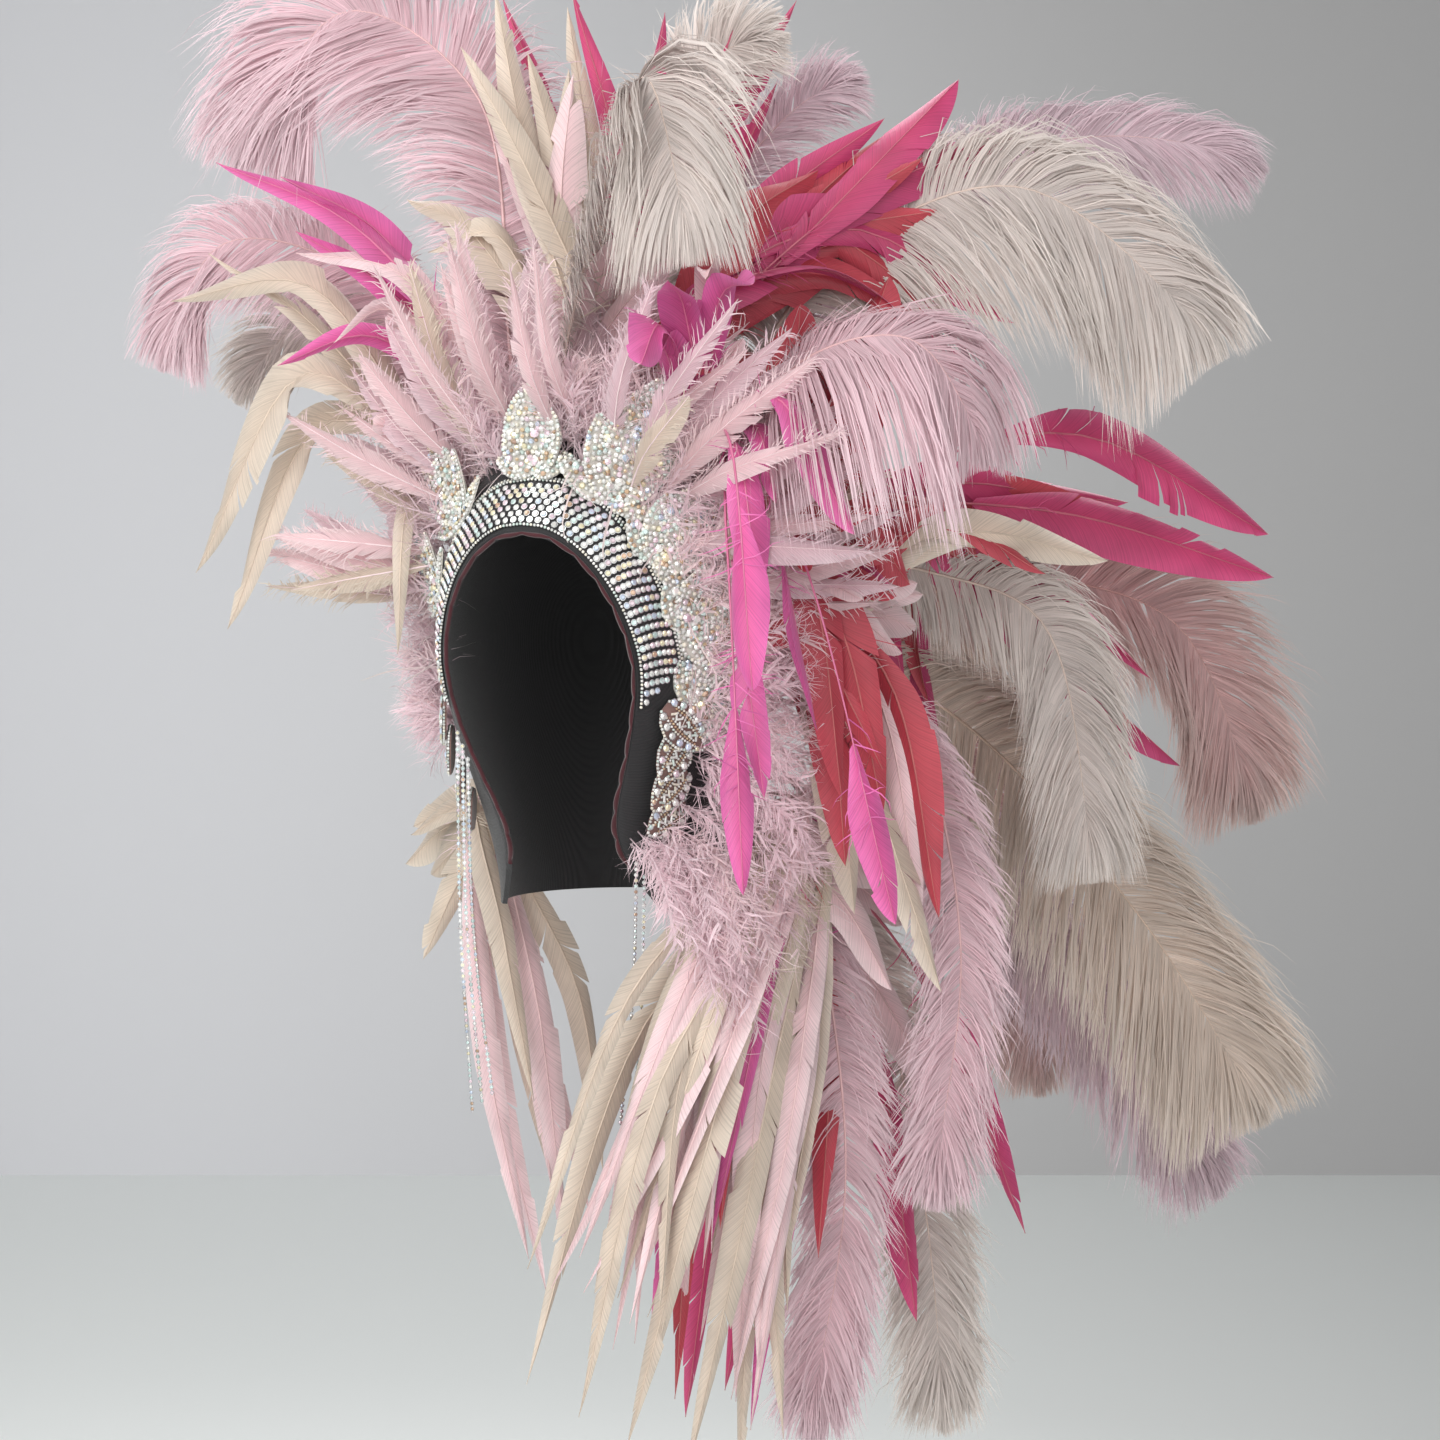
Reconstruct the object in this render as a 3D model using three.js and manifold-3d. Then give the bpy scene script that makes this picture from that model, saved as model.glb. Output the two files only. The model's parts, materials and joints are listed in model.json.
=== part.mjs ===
// Carnival feather headdress: a close black hood with a crystal band round the face,
// beaded leaves, hanging crystal strands, and layers of dyed plumes and cut feathers.
// Millimetres, +Z up. The face looks along -Y and +X is the wearer's left. The origin is
// the crown seat, where the top of the head meets the inside of the hood.
import * as THREE from 'three';
import { mergeVertices } from 'three/addons/utils/BufferGeometryUtils.js';
import Module from 'manifold-3d';

const wasm = await Module();
wasm.setup();

// Driving dimensions
const WALL = 2;
const GAP = 0.35;
const SEAT = 0.6;
const SMOOTHING = 0.03;
const EAR_LEVEL = -118;
const HOOD_BOTTOM = -250;
const DOME = { halfWidth: 76, halfDepth: 96, height: 120 };
const NECK = { halfWidth: 60, halfDepth: 64, shift: 18 };
const HOOD_SIDES = 24;
const BAND = { width: 20, thickness: 2.4, end: 0.5, steps: 26 };
const EDGE = { width: 3.2, scallop: 1.1, steps: 22, drop: 1.9 };
const QUARTER_TURN = 25;
const STRAND_DIAMETER = 2.4;
const STRAND_STEP = 4 * STRAND_DIAMETER;
const STRAND_SIDES = 6;
const PLUME = { quill: 1.6, stalk: 22, arch: 0.42, step: 60 };
const BLADE = { quill: 1.4, stalk: 32, arch: 0.2, steps: 4 };
const PAD = { spread: 10, thickness: 2.4, sunk: 3, quillRow: 13, stalkRow: 26, stagger: 3.4 };
const FLUFF = { back: 25, depth: 11, lean: 22, height: 30, locks: 5, steps: 15, start: 0.004, end: 0.86 };

// Side profile of the face opening, from above the forehead down to the nape side
const OPENING_COLUMNS = ['y', 'z'];
const OPENING = table(OPENING_COLUMNS, [
  [-112, 0],
  [-90, -50],
  [-79, -88],
  [-70, -123],
  [-61, -165],
  [-47, -210],
  [-22, -252],
]);

const COLOURS = {
  black_net: 0x1b1a1d,
  burgundy: 0x7a2331,
  crystal: 0xd9dcd8,
  hot_pink: 0xe23c93,
  coral: 0xdf6b6b,
  blush: 0xecc6cf,
  mauve: 0xd8bcc6,
  cream: 0xe6ddc4,
  ivory: 0xe8e4da,
  dusty: 0xcfa9a2,
};

// Leaves that stand over the band: place along the opening (0 is the forehead, 1 the end)
const TIARA_COLUMNS = ['name', 'along', 'back', 'length', 'width', 'turn', 'flare'];
const TIARA = table(TIARA_COLUMNS, [
  ['tiara_leaf_1', -0.36, 24, 44, 24, 8, 32],
  ['tiara_leaf_2', -0.2, 24, 50, 25, 4, 40],
  ['tiara_leaf_3', 0, 24, 38, 26, 0, 48],
  ['tiara_leaf_4', 0.16, 24, 60, 27, 2, 42],
  ['tiara_leaf_5', 0.3, 24, 44, 25, -6, 34],
  ['tiara_leaf_6', 0.44, 24, 48, 26, -10, 26],
  ['tiara_leaf_7', 0.585, 24, 46, 24, -14, 20],
]);

// Leaves sewn on the cheeks below the band, the same on both sides
const CHEEK_COLUMNS = ['number', 'along', 'back', 'length', 'width', 'turn'];
const CHEEK_LEAVES = table(CHEEK_COLUMNS, [
  [1, 0.545, 11, 30, 22, -86],
  [2, 0.645, 22, 27, 20, 195],
  [3, 0.72, 23, 28, 20, 188],
  [4, 0.79, 23, 27, 19, 180],
]);

// Hanging strands of small crystals: place along the opening, length, drift of the free end
const STRAND_COLUMNS = ['name', 'along', 'drop', 'driftX', 'driftY'];
const STRANDS = table(STRAND_COLUMNS, [
  ['chain_right_1', -0.555, 186, 10, -4],
  ['chain_right_2', -0.585, 176, 11, -1],
  ['chain_right_3', -0.615, 166, 12, 2],
  ['chain_left_1', 0.85, 128, -6, -6],
  ['chain_left_2', 0.885, 120, -5, -3],
]);

// Ostrich plumes: seat on the hood, then three points on the quill as right, near, up
const PLUME_COLUMNS = ['name', 'tint', 'seat', 'knee', 'crest', 'tip', 'width', 'face'];
const PLUMES = table(PLUME_COLUMNS, [
  ['plume_crown_1', 'blush', [-38, -9], [-62, 12, 150], [-125, 16, 190], [-184, 12, 112], 84, 'near'],
  ['plume_crown_2', 'ivory', [8, -14], [0, 52, 90], [22, 82, 146], [46, 112, 56], 100, 'near'],
  ['plume_crown_3', 'ivory', [100, -5], [20, -34, 110], [56, -26, 176], [92, -10, 186], 54, 'near'],
  ['plume_crown_4', 'mauve', [130, -8], [62, -56, 112], [98, -66, 158], [134, -70, 178], 46, 'near'],
  ['plume_right_1', 'blush', [-75, -26], [-130, -34, 70], [-196, -40, 84], [-232, -46, 20], 74, 'near'],
  ['plume_right_2', 'ivory', [-100, -30], [-104, -84, 44], [-164, -92, 48], [-202, -96, 8], 60, 'near'],
  ['plume_left_1', 'ivory', [95, -22], [112, 0, 70], [204, 8, 106], [312, 10, 24], 112, 'near'],
  ['plume_left_2', 'mauve', [120, -20], [176, -62, 122], [256, -74, 144], [350, -82, 134], 62, 'near'],
  ['plume_left_3', 'blush', [86, -42], [96, 84, 14], [146, 104, 22], [184, 112, -36], 130, 'high'],
  ['plume_left_4', 'ivory', [104, -82], [168, -40, -84], [222, -40, -108], [252, -40, -244], 78, 'near'],
  ['plume_left_5', 'dusty', [140, -84], [236, -170, -84], [316, -186, -112], [368, -196, -226], 104, 'near'],
  ['plume_left_6', 'cream', [128, -116], [196, -106, -170], [286, -118, -270], [360, -124, -386], 140, 'near'],
  ['plume_left_7', 'mauve', [142, -150], [176, -170, -220], [270, -186, -330], [352, -196, -440], 84, 'near'],
  ['plume_left_8', 'blush', [96, -128], [148, 18, -158], [176, 22, -262], [162, 18, -402], 60, 'near'],
  ['plume_left_9', 'dusty', [152, -124], [190, -236, -170], [232, -256, -280], [250, -260, -396], 76, 'near'],
  ['plume_left_10', 'ivory', [130, -198], [140, -52, -300], [164, -52, -410], [176, -50, -536], 64, 'near'],
  ['plume_left_11', 'blush', [108, -188], [112, 8, -290], [120, 14, -390], [100, 18, -520], 70, 'near'],
  ['plume_back_1', 'blush', [-150, -24], [6, -136, 60], [14, -236, 76], [2, -320, 6], 104, 'far'],
  ['plume_back_2', 'ivory', [-140, -66], [6, -156, -60], [16, -256, -80], [30, -330, -180], 110, 'far'],
  ['plume_back_3', 'dusty', [-156, -172], [52, -136, -214], [82, -206, -290], [104, -244, -404], 84, 'far'],
  ['plume_back_4', 'cream', [176, -84], [112, -196, -46], [172, -286, -70], [214, -350, -170], 104, 'far'],
]);

// Cut feathers in fans on one sewn pad each: tip as right, near, up of the quarter view
const BLADE_COLUMNS = ['tip', 'bow', 'width'];
const FANS = [
  { name: 'pink_fan_crown_right', tint: 'hot_pink', seat: [-52, -16], blades: [
    [[-184, 46, 112], 42, 16], [[-152, 54, 104], 40, 15], [[-147, 40, 80], 30, 14],
    [[-153, 60, 14], 34, 12]] },
  { name: 'pink_fan_top', tint: 'hot_pink', seat: [-160, -3], blades: [
    [[-50, 2, 200], 6, 14], [[-16, -8, 204], 4, 16], [[30, -16, 196], 4, 15],
    [[64, -20, 188], 4, 14], [[96, -26, 204], 8, 16]] },
  { name: 'pink_fan_top_left', tint: 'hot_pink', seat: [60, -9], blades: [
    [[178, -28, 165], 20, 26], [[206, -24, 138], 30, 28], [[128, -18, 128], 14, 30],
    [[150, -12, 98], 26, 30], [[204, -2, 40], 44, 22]] },
  { name: 'pink_cluster_left', tint: 'hot_pink', seat: [66, -34], blades: [
    [[138, 122, -246], 66, 18], [[118, 136, -68], 60, 18], [[68, 146, -230], 74, 18],
    [[72, 150, -138], 60, 24], [[72, 136, 44], 26, 18], [[34, 132, 46], 20, 20],
    [[22, 140, 8], 28, 22]] },
  { name: 'pink_fan_left', tint: 'hot_pink', seat: [112, -60], blades: [
    [[356, -128, -62], 20, 30], [[286, -112, -54], 14, 32], [[308, -124, -188], 34, 30],
    [[290, -114, -140], 26, 26], [[178, -96, -188], 40, 24]] },
  { name: 'pink_fan_low', tint: 'hot_pink', seat: [126, -222], blades: [
    [[158, -18, -466], 20, 20], [[214, -24, -422], 30, 20], [[60, -12, -500], 16, 16],
    [[40, -6, -512], 18, 15]] },
  { name: 'cream_fan_right', tint: 'cream', seat: [-68, -40], blades: [
    [[-214, 6, 50], 40, 22], [[-202, 10, -84], 66, 24], [[-188, 2, -112], 62, 22],
    [[-100, 30, -124], 20, 10], [[-196, 2, 74], 34, 18]] },
  { name: 'cream_fan_top', tint: 'cream', seat: [0, -2], blades: [
    [[-68, 30, 170], 10, 18], [[-52, 22, 198], 8, 20], [[-16, 26, 160], 6, 24],
    [[-94, 34, 96], 26, 22]] },
  { name: 'cream_fan_left', tint: 'cream', seat: [92, -104], blades: [
    [[252, -8, -78], 34, 24], [[122, 60, -248], 24, 24], [[164, 58, -286], 34, 22],
    [[62, 96, -78], 34, 30]] },
  { name: 'coral_fan_left', tint: 'coral', seat: [84, -78], blades: [
    [[96, 50, 44], 10, 36], [[140, 26, 60], 16, 36], [[112, 64, -150], 26, 26],
    [[136, 56, -200], 30, 24], [[150, 34, -90], 26, 30]] },
  { name: 'hackle_fall_left', tint: 'cream', seat: [97, -210], blades: [
    [[88, 70, -500], 30, 16], [[66, 84, -516], 34, 16], [[42, 98, -508], 38, 16],
    [[30, 104, -440], 38, 15], [[14, 110, -492], 42, 16], [[-8, 116, -476], 44, 16],
    [[-32, 118, -460], 46, 15]] },
  { name: 'hackle_fall_right', tint: 'blush', seat: [-112, -206], blades: [
    [[-42, -44, -440], 6, 15], [[-34, -62, -462], 6, 16], [[-24, -80, -450], 6, 16],
    [[-12, -96, -430], 6, 16]] },
].map((fan) => ({ ...fan, blades: table(BLADE_COLUMNS, fan.blades) }));

// Which way the outer face of a vane looks, as right, near, up of the quarter view
const FACES = { near: [0, 1, 0.35], high: [0.1, 0.75, 0.7], far: [0.2, -0.6, 0.75] };

function table(columns, rows) {
  return rows.map((row) => Object.fromEntries(columns.map((column, at) => [column, row[at]])));
}

const radians = THREE.MathUtils.degToRad;
const mix = THREE.MathUtils.lerp;

// A point or direction given in the quarter view: to its right, nearer to it, and up
function quarter([right, near, up]) {
  const turn = radians(QUARTER_TURN);
  const x = right * Math.cos(turn) + near * Math.sin(turn);
  const y = right * Math.sin(turn) - near * Math.cos(turn);
  return new THREE.Vector3(x, y, up);
}

// Half width, half depth and backward shift of the hood's outside at a height
function hoodAt(z) {
  if (z > EAR_LEVEL) {
    const rise = Math.min(1, (z - EAR_LEVEL) / DOME.height);
    const round = Math.sqrt(1 - rise * rise);
    return { a: DOME.halfWidth * round, b: DOME.halfDepth * round, y0: 0 };
  }
  const fall = THREE.MathUtils.smoothstep(EAR_LEVEL - z, 0, EAR_LEVEL - HOOD_BOTTOM);
  return {
    a: mix(DOME.halfWidth, NECK.halfWidth, fall),
    b: mix(DOME.halfDepth, NECK.halfDepth, fall),
    y0: NECK.shift * fall,
  };
}

function hoodNormal(point) {
  const { y0 } = hoodAt(point.z);
  const up = Math.max(0, point.z - EAR_LEVEL) / DOME.height ** 2;
  const x = point.x / DOME.halfWidth ** 2;
  const y = (point.y - y0) / DOME.halfDepth ** 2;
  return new THREE.Vector3(x, y, up).normalize();
}

function lifted(point, lift) {
  return point.clone().addScaledVector(hoodNormal(point), lift);
}

// A point on the hood by its bearing (0 is the face, 90 the wearer's left) and height
function hoodPoint(bearing, z, lift) {
  const { a, b, y0 } = hoodAt(z);
  const angle = radians(bearing);
  return lifted(new THREE.Vector3(a * Math.sin(angle), y0 - b * Math.cos(angle), z), lift);
}

// Side line of the opening, moved back over the hood by a distance
const openingCurve = new THREE.CatmullRomCurve3(OPENING.map(({ y, z }) => new THREE.Vector3(0, y, z)));
function openingLine(back, count = 60) {
  return Array.from({ length: count + 1 }, (_, step) => {
    const at = openingCurve.getPoint(step / count);
    const along = openingCurve.getTangent(step / count);
    return new THREE.Vector3(0, at.y - along.z * back, at.z + along.y * back);
  });
}

// Half of a row that follows the opening at a distance behind it, from the front to its end
const halfRows = new Map();
function halfRow(back) {
  if (!halfRows.has(back)) {
    const inside = openingLine(back, 240).filter(({ y, z }) => {
      const { b, y0 } = hoodAt(z);
      return Math.abs(y - y0) < b;
    });
    const points = inside.map(({ y, z }) => {
      const { a, b, y0 } = hoodAt(z);
      return new THREE.Vector3(a * Math.sqrt(1 - ((y - y0) / b) ** 2), y, z);
    });
    points[0].x = 0;
    const curve = new THREE.CatmullRomCurve3(points);
    curve.arcLengthDivisions = 600;
    halfRows.set(back, curve);
  }
  return halfRows.get(back);
}

function rowPoint(along, back, lift) {
  const point = halfRow(back).getPointAt(Math.min(1, Math.abs(along)));
  point.x *= Math.sign(along) || 1;
  return lifted(point, lift);
}

// Closed skin through rings of equally many points, with a fan at each end
function skin(rings) {
  const count = rings[0].length;
  const middle = (ring) => ring.reduce((sum, p) => sum.add(p), new THREE.Vector3()).divideScalar(count);
  const points = [...rings.flat(), middle(rings[0]), middle(rings.at(-1))];
  const first = rings.length * count;
  const index = [];
  for (let ring = 0; ring + 1 < rings.length; ring += 1) {
    for (let at = 0; at < count; at += 1) {
      const next = (at + 1) % count;
      const [a, b] = [ring * count + at, ring * count + next];
      index.push(a, b, b + count, a, b + count, a + count);
    }
  }
  for (let at = 0; at < count; at += 1) {
    const next = (at + 1) % count;
    index.push(first, next, at);
    index.push(first + 1, first - count + at, first - count + next);
  }
  const geometry = new THREE.BufferGeometry().setFromPoints(points);
  geometry.setIndex(index);
  return outward(geometry);
}

function outward(geometry) {
  const position = geometry.attributes.position;
  const index = geometry.index.array;
  const [a, b, c] = [new THREE.Vector3(), new THREE.Vector3(), new THREE.Vector3()];
  let volume = 0;
  for (let at = 0; at < index.length; at += 3) {
    a.fromBufferAttribute(position, index[at]);
    b.fromBufferAttribute(position, index[at + 1]);
    c.fromBufferAttribute(position, index[at + 2]);
    volume += a.dot(b.cross(c));
  }
  if (volume < 0) geometry.setIndex([...index].reverse());
  return geometry;
}

// Solids for joining and cutting
function solid(geometry) {
  const bare = geometry.clone();
  bare.deleteAttribute('normal');
  bare.deleteAttribute('uv');
  const merged = mergeVertices(bare, 1e-4);
  return new wasm.Manifold(new wasm.Mesh({
    numProp: 3,
    vertProperties: new Float32Array(merged.attributes.position.array),
    triVerts: new Uint32Array(merged.index.array),
  }));
}

function surface(form) {
  const { vertProperties, triVerts } = form.getMesh();
  const geometry = new THREE.BufferGeometry();
  geometry.setAttribute('position', new THREE.BufferAttribute(vertProperties, 3));
  geometry.setIndex(new THREE.BufferAttribute(triVerts, 1));
  return geometry;
}

const headdress = new THREE.Group();
const placed = [];

function boxesMeet(one, other) {
  return [0, 1, 2].every((axis) => one.min[axis] < other.max[axis] && other.min[axis] < one.max[axis]);
}

function largest(parts) {
  return parts.sort((one, other) => other.volume() - one.volume())[0];
}

// Adds a piece, cut back from the pieces placed before it, as the one body that holds its root.
// A form is a function of how much it is grown all round.
function place(name, tint, form, root) {
  let body = form(0);
  for (const other of placed) {
    if (boxesMeet(body.boundingBox(), other.box)) body = body.subtract(other.room);
  }
  const near = (part) => {
    const { min, max } = part.boundingBox();
    const box = new THREE.Box3(new THREE.Vector3(...min), new THREE.Vector3(...max));
    return box.distanceToPoint(root);
  };
  const parts = body.simplify(SMOOTHING).decompose();
  const kept = largest(root ? parts.filter((part) => near(part) < 4) : parts);
  const room = largest(form(GAP).decompose()).add(kept);
  placed.push({ room, box: room.boundingBox() });
  const roughness = tint === 'crystal' ? 0.25 : 0.85;
  const material = new THREE.MeshStandardMaterial({ color: COLOURS[tint], roughness, metalness: 0 });
  const mesh = new THREE.Mesh(surface(kept), material);
  mesh.name = name;
  headdress.add(mesh);
}

// Hood: a close cap down to the nape, cut open for the face
const DOME_RISES = [0.3, 0.54, 0.75, 0.91, 0.98];
function hoodForm(inset, bottom, sides = HOOD_SIDES) {
  const heights = [...DOME_RISES.map((rise) => DOME.height * Math.sqrt(1 - rise * rise)), 0];
  const levels = [...heights.map((height) => EAR_LEVEL + height)];
  for (let step = 1; step <= 4; step += 1) levels.push(mix(EAR_LEVEL, bottom, step / 4));
  const scale = (half) => (half - inset) / half;
  const rings = levels.map((z) => {
    const { a, b, y0 } = hoodAt(z);
    const [wide, deep] = [scale(DOME.halfWidth), scale(DOME.halfDepth)];
    const top = z > EAR_LEVEL ? EAR_LEVEL + (z - EAR_LEVEL) * scale(DOME.height) : z;
    return Array.from({ length: sides }, (_, at) => {
      const angle = (2 * Math.PI * at) / sides;
      return new THREE.Vector3(a * wide * Math.sin(angle), y0 - b * deep * Math.cos(angle), top);
    });
  });
  const pole = new THREE.Vector3(0, 0, EAR_LEVEL + DOME.height - inset);
  const tiny = rings[0].map((p) => pole.clone().add(new THREE.Vector3(p.x, p.y, 0).setLength(0.5)));
  return solid(skin([tiny, ...rings]));
}

function openingPrism(back) {
  const line = openingLine(back, 24);
  const shape = new THREE.Shape();
  shape.moveTo(line[0].y, line[0].z);
  line.slice(1).forEach((point) => shape.lineTo(point.y, point.z));
  shape.lineTo(-22, -300);
  shape.lineTo(-160, -300);
  shape.lineTo(-160, 0);
  const geometry = new THREE.ExtrudeGeometry(shape, { depth: 240, bevelEnabled: false });
  geometry.translate(0, 0, -120);
  const turned = new THREE.Matrix4().makeBasis(
    new THREE.Vector3(0, 1, 0), new THREE.Vector3(0, 0, 1), new THREE.Vector3(1, 0, 0));
  geometry.applyMatrix4(turned);
  return solid(geometry);
}

function addHood() {
  place('hood', 'black_net', (grow) => hoodForm(-grow, HOOD_BOTTOM - grow)
    .subtract(hoodForm(WALL + grow, HOOD_BOTTOM - 1 - grow, HOOD_SIDES - 8))
    .subtract(openingPrism(-grow)));
}

// From here on nothing may stand inside the hood
function closeHood() {
  const room = hoodForm(-GAP, HOOD_BOTTOM);
  placed.push({ room, box: room.boundingBox() });
}

// A strip that follows the opening: two edges behind it, and how high each face stands
const ROW_LENGTH = 250;
function rowStrip({ from, to, steps, low, high, inner, outer, grow = 0 }) {
  const rings = Array.from({ length: steps + 1 }, (_, step) => {
    const spare = (Math.sign(to - from) * grow) / ROW_LENGTH;
    const along = mix(from - spare, to + spare, step / steps);
    const [near, far] = [low(along) - grow, high(along) + grow];
    const middle = (near + far) / 2;
    return [
      rowPoint(along, near, inner - grow), rowPoint(along, middle, inner - grow),
      rowPoint(along, far, inner - grow), rowPoint(along, far, outer + grow),
      rowPoint(along, middle, outer + grow), rowPoint(along, near, outer + grow),
    ];
  });
  return solid(skin(rings));
}

function addBand() {
  const strip = (grow) => rowStrip({
    from: -BAND.end, to: BAND.end, steps: BAND.steps, grow,
    low: () => 1, high: () => 1 + BAND.width, inner: SEAT, outer: SEAT + BAND.thickness });
  place('crystal_band', 'crystal', strip);
}

function addEdge() {
  const scallop = (along) => -EDGE.width - EDGE.scallop * Math.abs(Math.sin(along * 24));
  const strip = (grow) => rowStrip({
    from: -0.86, to: 0.86, steps: EDGE.steps, grow,
    low: scallop, high: () => -SEAT, inner: -EDGE.drop, outer: 0 });
  place('felt_edge', 'burgundy', strip);
}

// A beaded leaf on felt: domed outside, flat inside, pointed at its tip
const LEAF_STEPS = [[0, 0.3], [0.12, 0.72], [0.35, 1], [0.6, 0.92], [0.82, 0.56], [1, 0.06]];
function leafForm({ length, width }, frame, grow) {
  const rings = LEAF_STEPS.map(([run, share]) => {
    const half = (width / 2) * share + grow;
    const y = run * length + (run < 0.5 ? -grow : grow);
    const domed = 1.4 * share;
    return [[-half, 0 - grow], [half, 0 - grow], [half, 1.3 + grow], [half / 2, 1.5 + domed + grow],
      [-half / 2, 1.5 + domed + grow], [-half, 1.3 + grow]]
      .map(([x, z]) => new THREE.Vector3(x, y, z).applyMatrix4(frame));
  });
  return solid(skin(rings));
}

// Axes on the hood at a place in a row: across, away from the opening, and outward
function leafFrame(along, back, turn, flare, lift) {
  const root = rowPoint(along, back, lift);
  const out = hoodNormal(root);
  const away = rowPoint(along, back + 4, lift).sub(root).normalize();
  const across = new THREE.Vector3().crossVectors(away, out).normalize();
  const frame = new THREE.Matrix4().makeBasis(across, new THREE.Vector3().crossVectors(out, across), out);
  frame.setPosition(root);
  frame.multiply(new THREE.Matrix4().makeRotationZ(radians(turn)));
  frame.multiply(new THREE.Matrix4().makeRotationX(radians(flare)));
  return frame;
}

function addLeaves() {
  for (const row of TIARA) {
    const frame = leafFrame(row.along, row.back, row.turn, row.flare, GAP);
    place(row.name, 'crystal', (grow) => leafForm(row, frame, grow));
  }
  for (const side of ['left', 'right']) {
    for (const row of CHEEK_LEAVES) {
      const sign = side === 'left' ? 1 : -1;
      const frame = leafFrame(sign * row.along, row.back, sign * row.turn, 0, GAP + 0.6);
      place(`side_leaf_${side}_${row.number}`, 'crystal', (grow) => leafForm(row, frame, grow));
    }
  }
}

// A thin beaded vine down the hood behind each cheek
function addVines() {
  for (const [side, sign] of [['left', 1], ['right', -1]]) {
    const wave = (along) => 43 + 2.5 * Math.sin(along * 30);
    const strip = (grow) => rowStrip({
      from: sign * 0.66, to: sign * 0.9, steps: 10, grow,
      low: (along) => wave(Math.abs(along)) - 3, high: (along) => wave(Math.abs(along)) + 3,
      inner: SEAT, outer: SEAT + 2 });
    place(`side_vine_${side}`, 'crystal', strip);
  }
}

function addStrands() {
  const section = (grow) => new THREE.Shape(
    Array.from({ length: STRAND_SIDES }, (_, at) => new THREE.Vector2(STRAND_DIAMETER / 2 + grow, 0)
      .rotateAround(new THREE.Vector2(), (at * 2 * Math.PI) / STRAND_SIDES)));
  for (const { name, along, drop, driftX, driftY } of STRANDS) {
    const top = rowPoint(along, 1.5, STRAND_DIAMETER / 2 - SEAT);
    const middle = top.clone().add(new THREE.Vector3(driftX * 0.2, driftY * 0.3, -drop / 2));
    const end = top.clone().add(new THREE.Vector3(driftX, driftY, -drop));
    const path = new THREE.CatmullRomCurve3([top, middle, end]);
    const steps = Math.round(path.getLength() / STRAND_STEP);
    const options = { steps, extrudePath: path, bevelEnabled: false };
    place(name, 'crystal', (grow) => solid(new THREE.ExtrudeGeometry(section(grow), options)));
  }
}

// Directions across the vane at each step, turned as little as possible along the quill
function vaneAcross(tangents, look) {
  const widest = Math.round((tangents.length - 1) * 0.65);
  const start = tangents[widest];
  const facing = Math.abs(start.dot(look)) < 0.85 ? look : new THREE.Vector3(0, 0, 1);
  const across = [];
  across[widest] = new THREE.Vector3().crossVectors(start, facing).normalize();
  const carry = (from, to) => {
    const along = tangents[to];
    across[to] = across[from].clone().addScaledVector(along, -along.dot(across[from])).normalize();
  };
  for (let step = widest; step > 0; step -= 1) carry(step, step - 1);
  for (let step = widest; step + 1 < tangents.length; step += 1) carry(step, step + 1);
  return across;
}

// Rings round a quill: half width, thickness and droop of the vane as it runs to the tip
function vaneRings({ spine, steps, half, thick, arch, face, section, grow }) {
  const tangents = Array.from({ length: steps + 1 }, (_, step) => spine.getTangentAt(step / steps));
  const sideways = vaneAcross(tangents, quarter(FACES[face]).normalize());
  return tangents.map((along, step) => {
    const run = step / steps;
    const across = sideways[step];
    const out = new THREE.Vector3().crossVectors(across, along);
    const end = step === 0 ? -grow : step === steps ? grow : 0;
    const centre = spine.getPointAt(run).addScaledVector(along, end);
    const reach = half(run) + grow;
    return section.map(([x, y]) => centre.clone()
      .addScaledVector(across, x * reach)
      .addScaledVector(out, y * (thick(run) + grow) - arch * reach * x * x));
  });
}

const PLUME_SECTION = [[-1, 0], [-0.42, 1], [0.42, 1], [1, 0], [0.42, -1], [-0.42, -1]];
const BLADE_SECTION = [[-1, -0.5], [0, 1], [1, -0.5]];

// A quill starts inside the hood's wall and is cut back to it, so that it sits close
function plumeForm({ seat, knee, crest, tip, width, face }, grow) {
  const start = [hoodPoint(...seat, -WALL), hoodPoint(...seat, PLUME.stalk)];
  const points = [...start, ...[knee, crest, tip].map(quarter)];
  const spine = new THREE.CatmullRomCurve3(points, false, 'centripetal');
  const half = (run) => {
    const swell = THREE.MathUtils.smoothstep(run, 0.1, 0.45);
    const round = Math.sqrt(Math.max(0, 1 - Math.max(0, (run - 0.72) / 0.28) ** 2));
    return PLUME.quill + (width / 2 - PLUME.quill) * swell * Math.max(0.22, round);
  };
  const steps = Math.max(6, Math.round(spine.getLength() / PLUME.step));
  const rings = vaneRings({
    spine, steps, half, face, grow, arch: PLUME.arch, section: PLUME_SECTION,
    thick: (run) => 1.5 + 0.8 * Math.min(1, run * 4) });
  return solid(skin(rings));
}

function bladeForm({ tip, bow, width }, root, stalk, grow) {
  const end = quarter(tip);
  const middle = stalk.clone().lerp(end, 0.5).add(new THREE.Vector3(0, 0, bow));
  const spine = new THREE.CatmullRomCurve3([root, stalk, middle, end], false, 'centripetal');
  const half = (run) => {
    const swell = THREE.MathUtils.smoothstep(run, 0.12, 0.5);
    const taper = 1 - THREE.MathUtils.smoothstep(run, 0.62, 1) * 0.9;
    return BLADE.quill + (width / 2 - BLADE.quill) * swell * taper;
  };
  const rings = vaneRings({
    spine, steps: BLADE.steps, half, face: 'near', grow, arch: BLADE.arch,
    section: BLADE_SECTION, thick: () => 1 });
  return solid(skin(rings));
}

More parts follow.
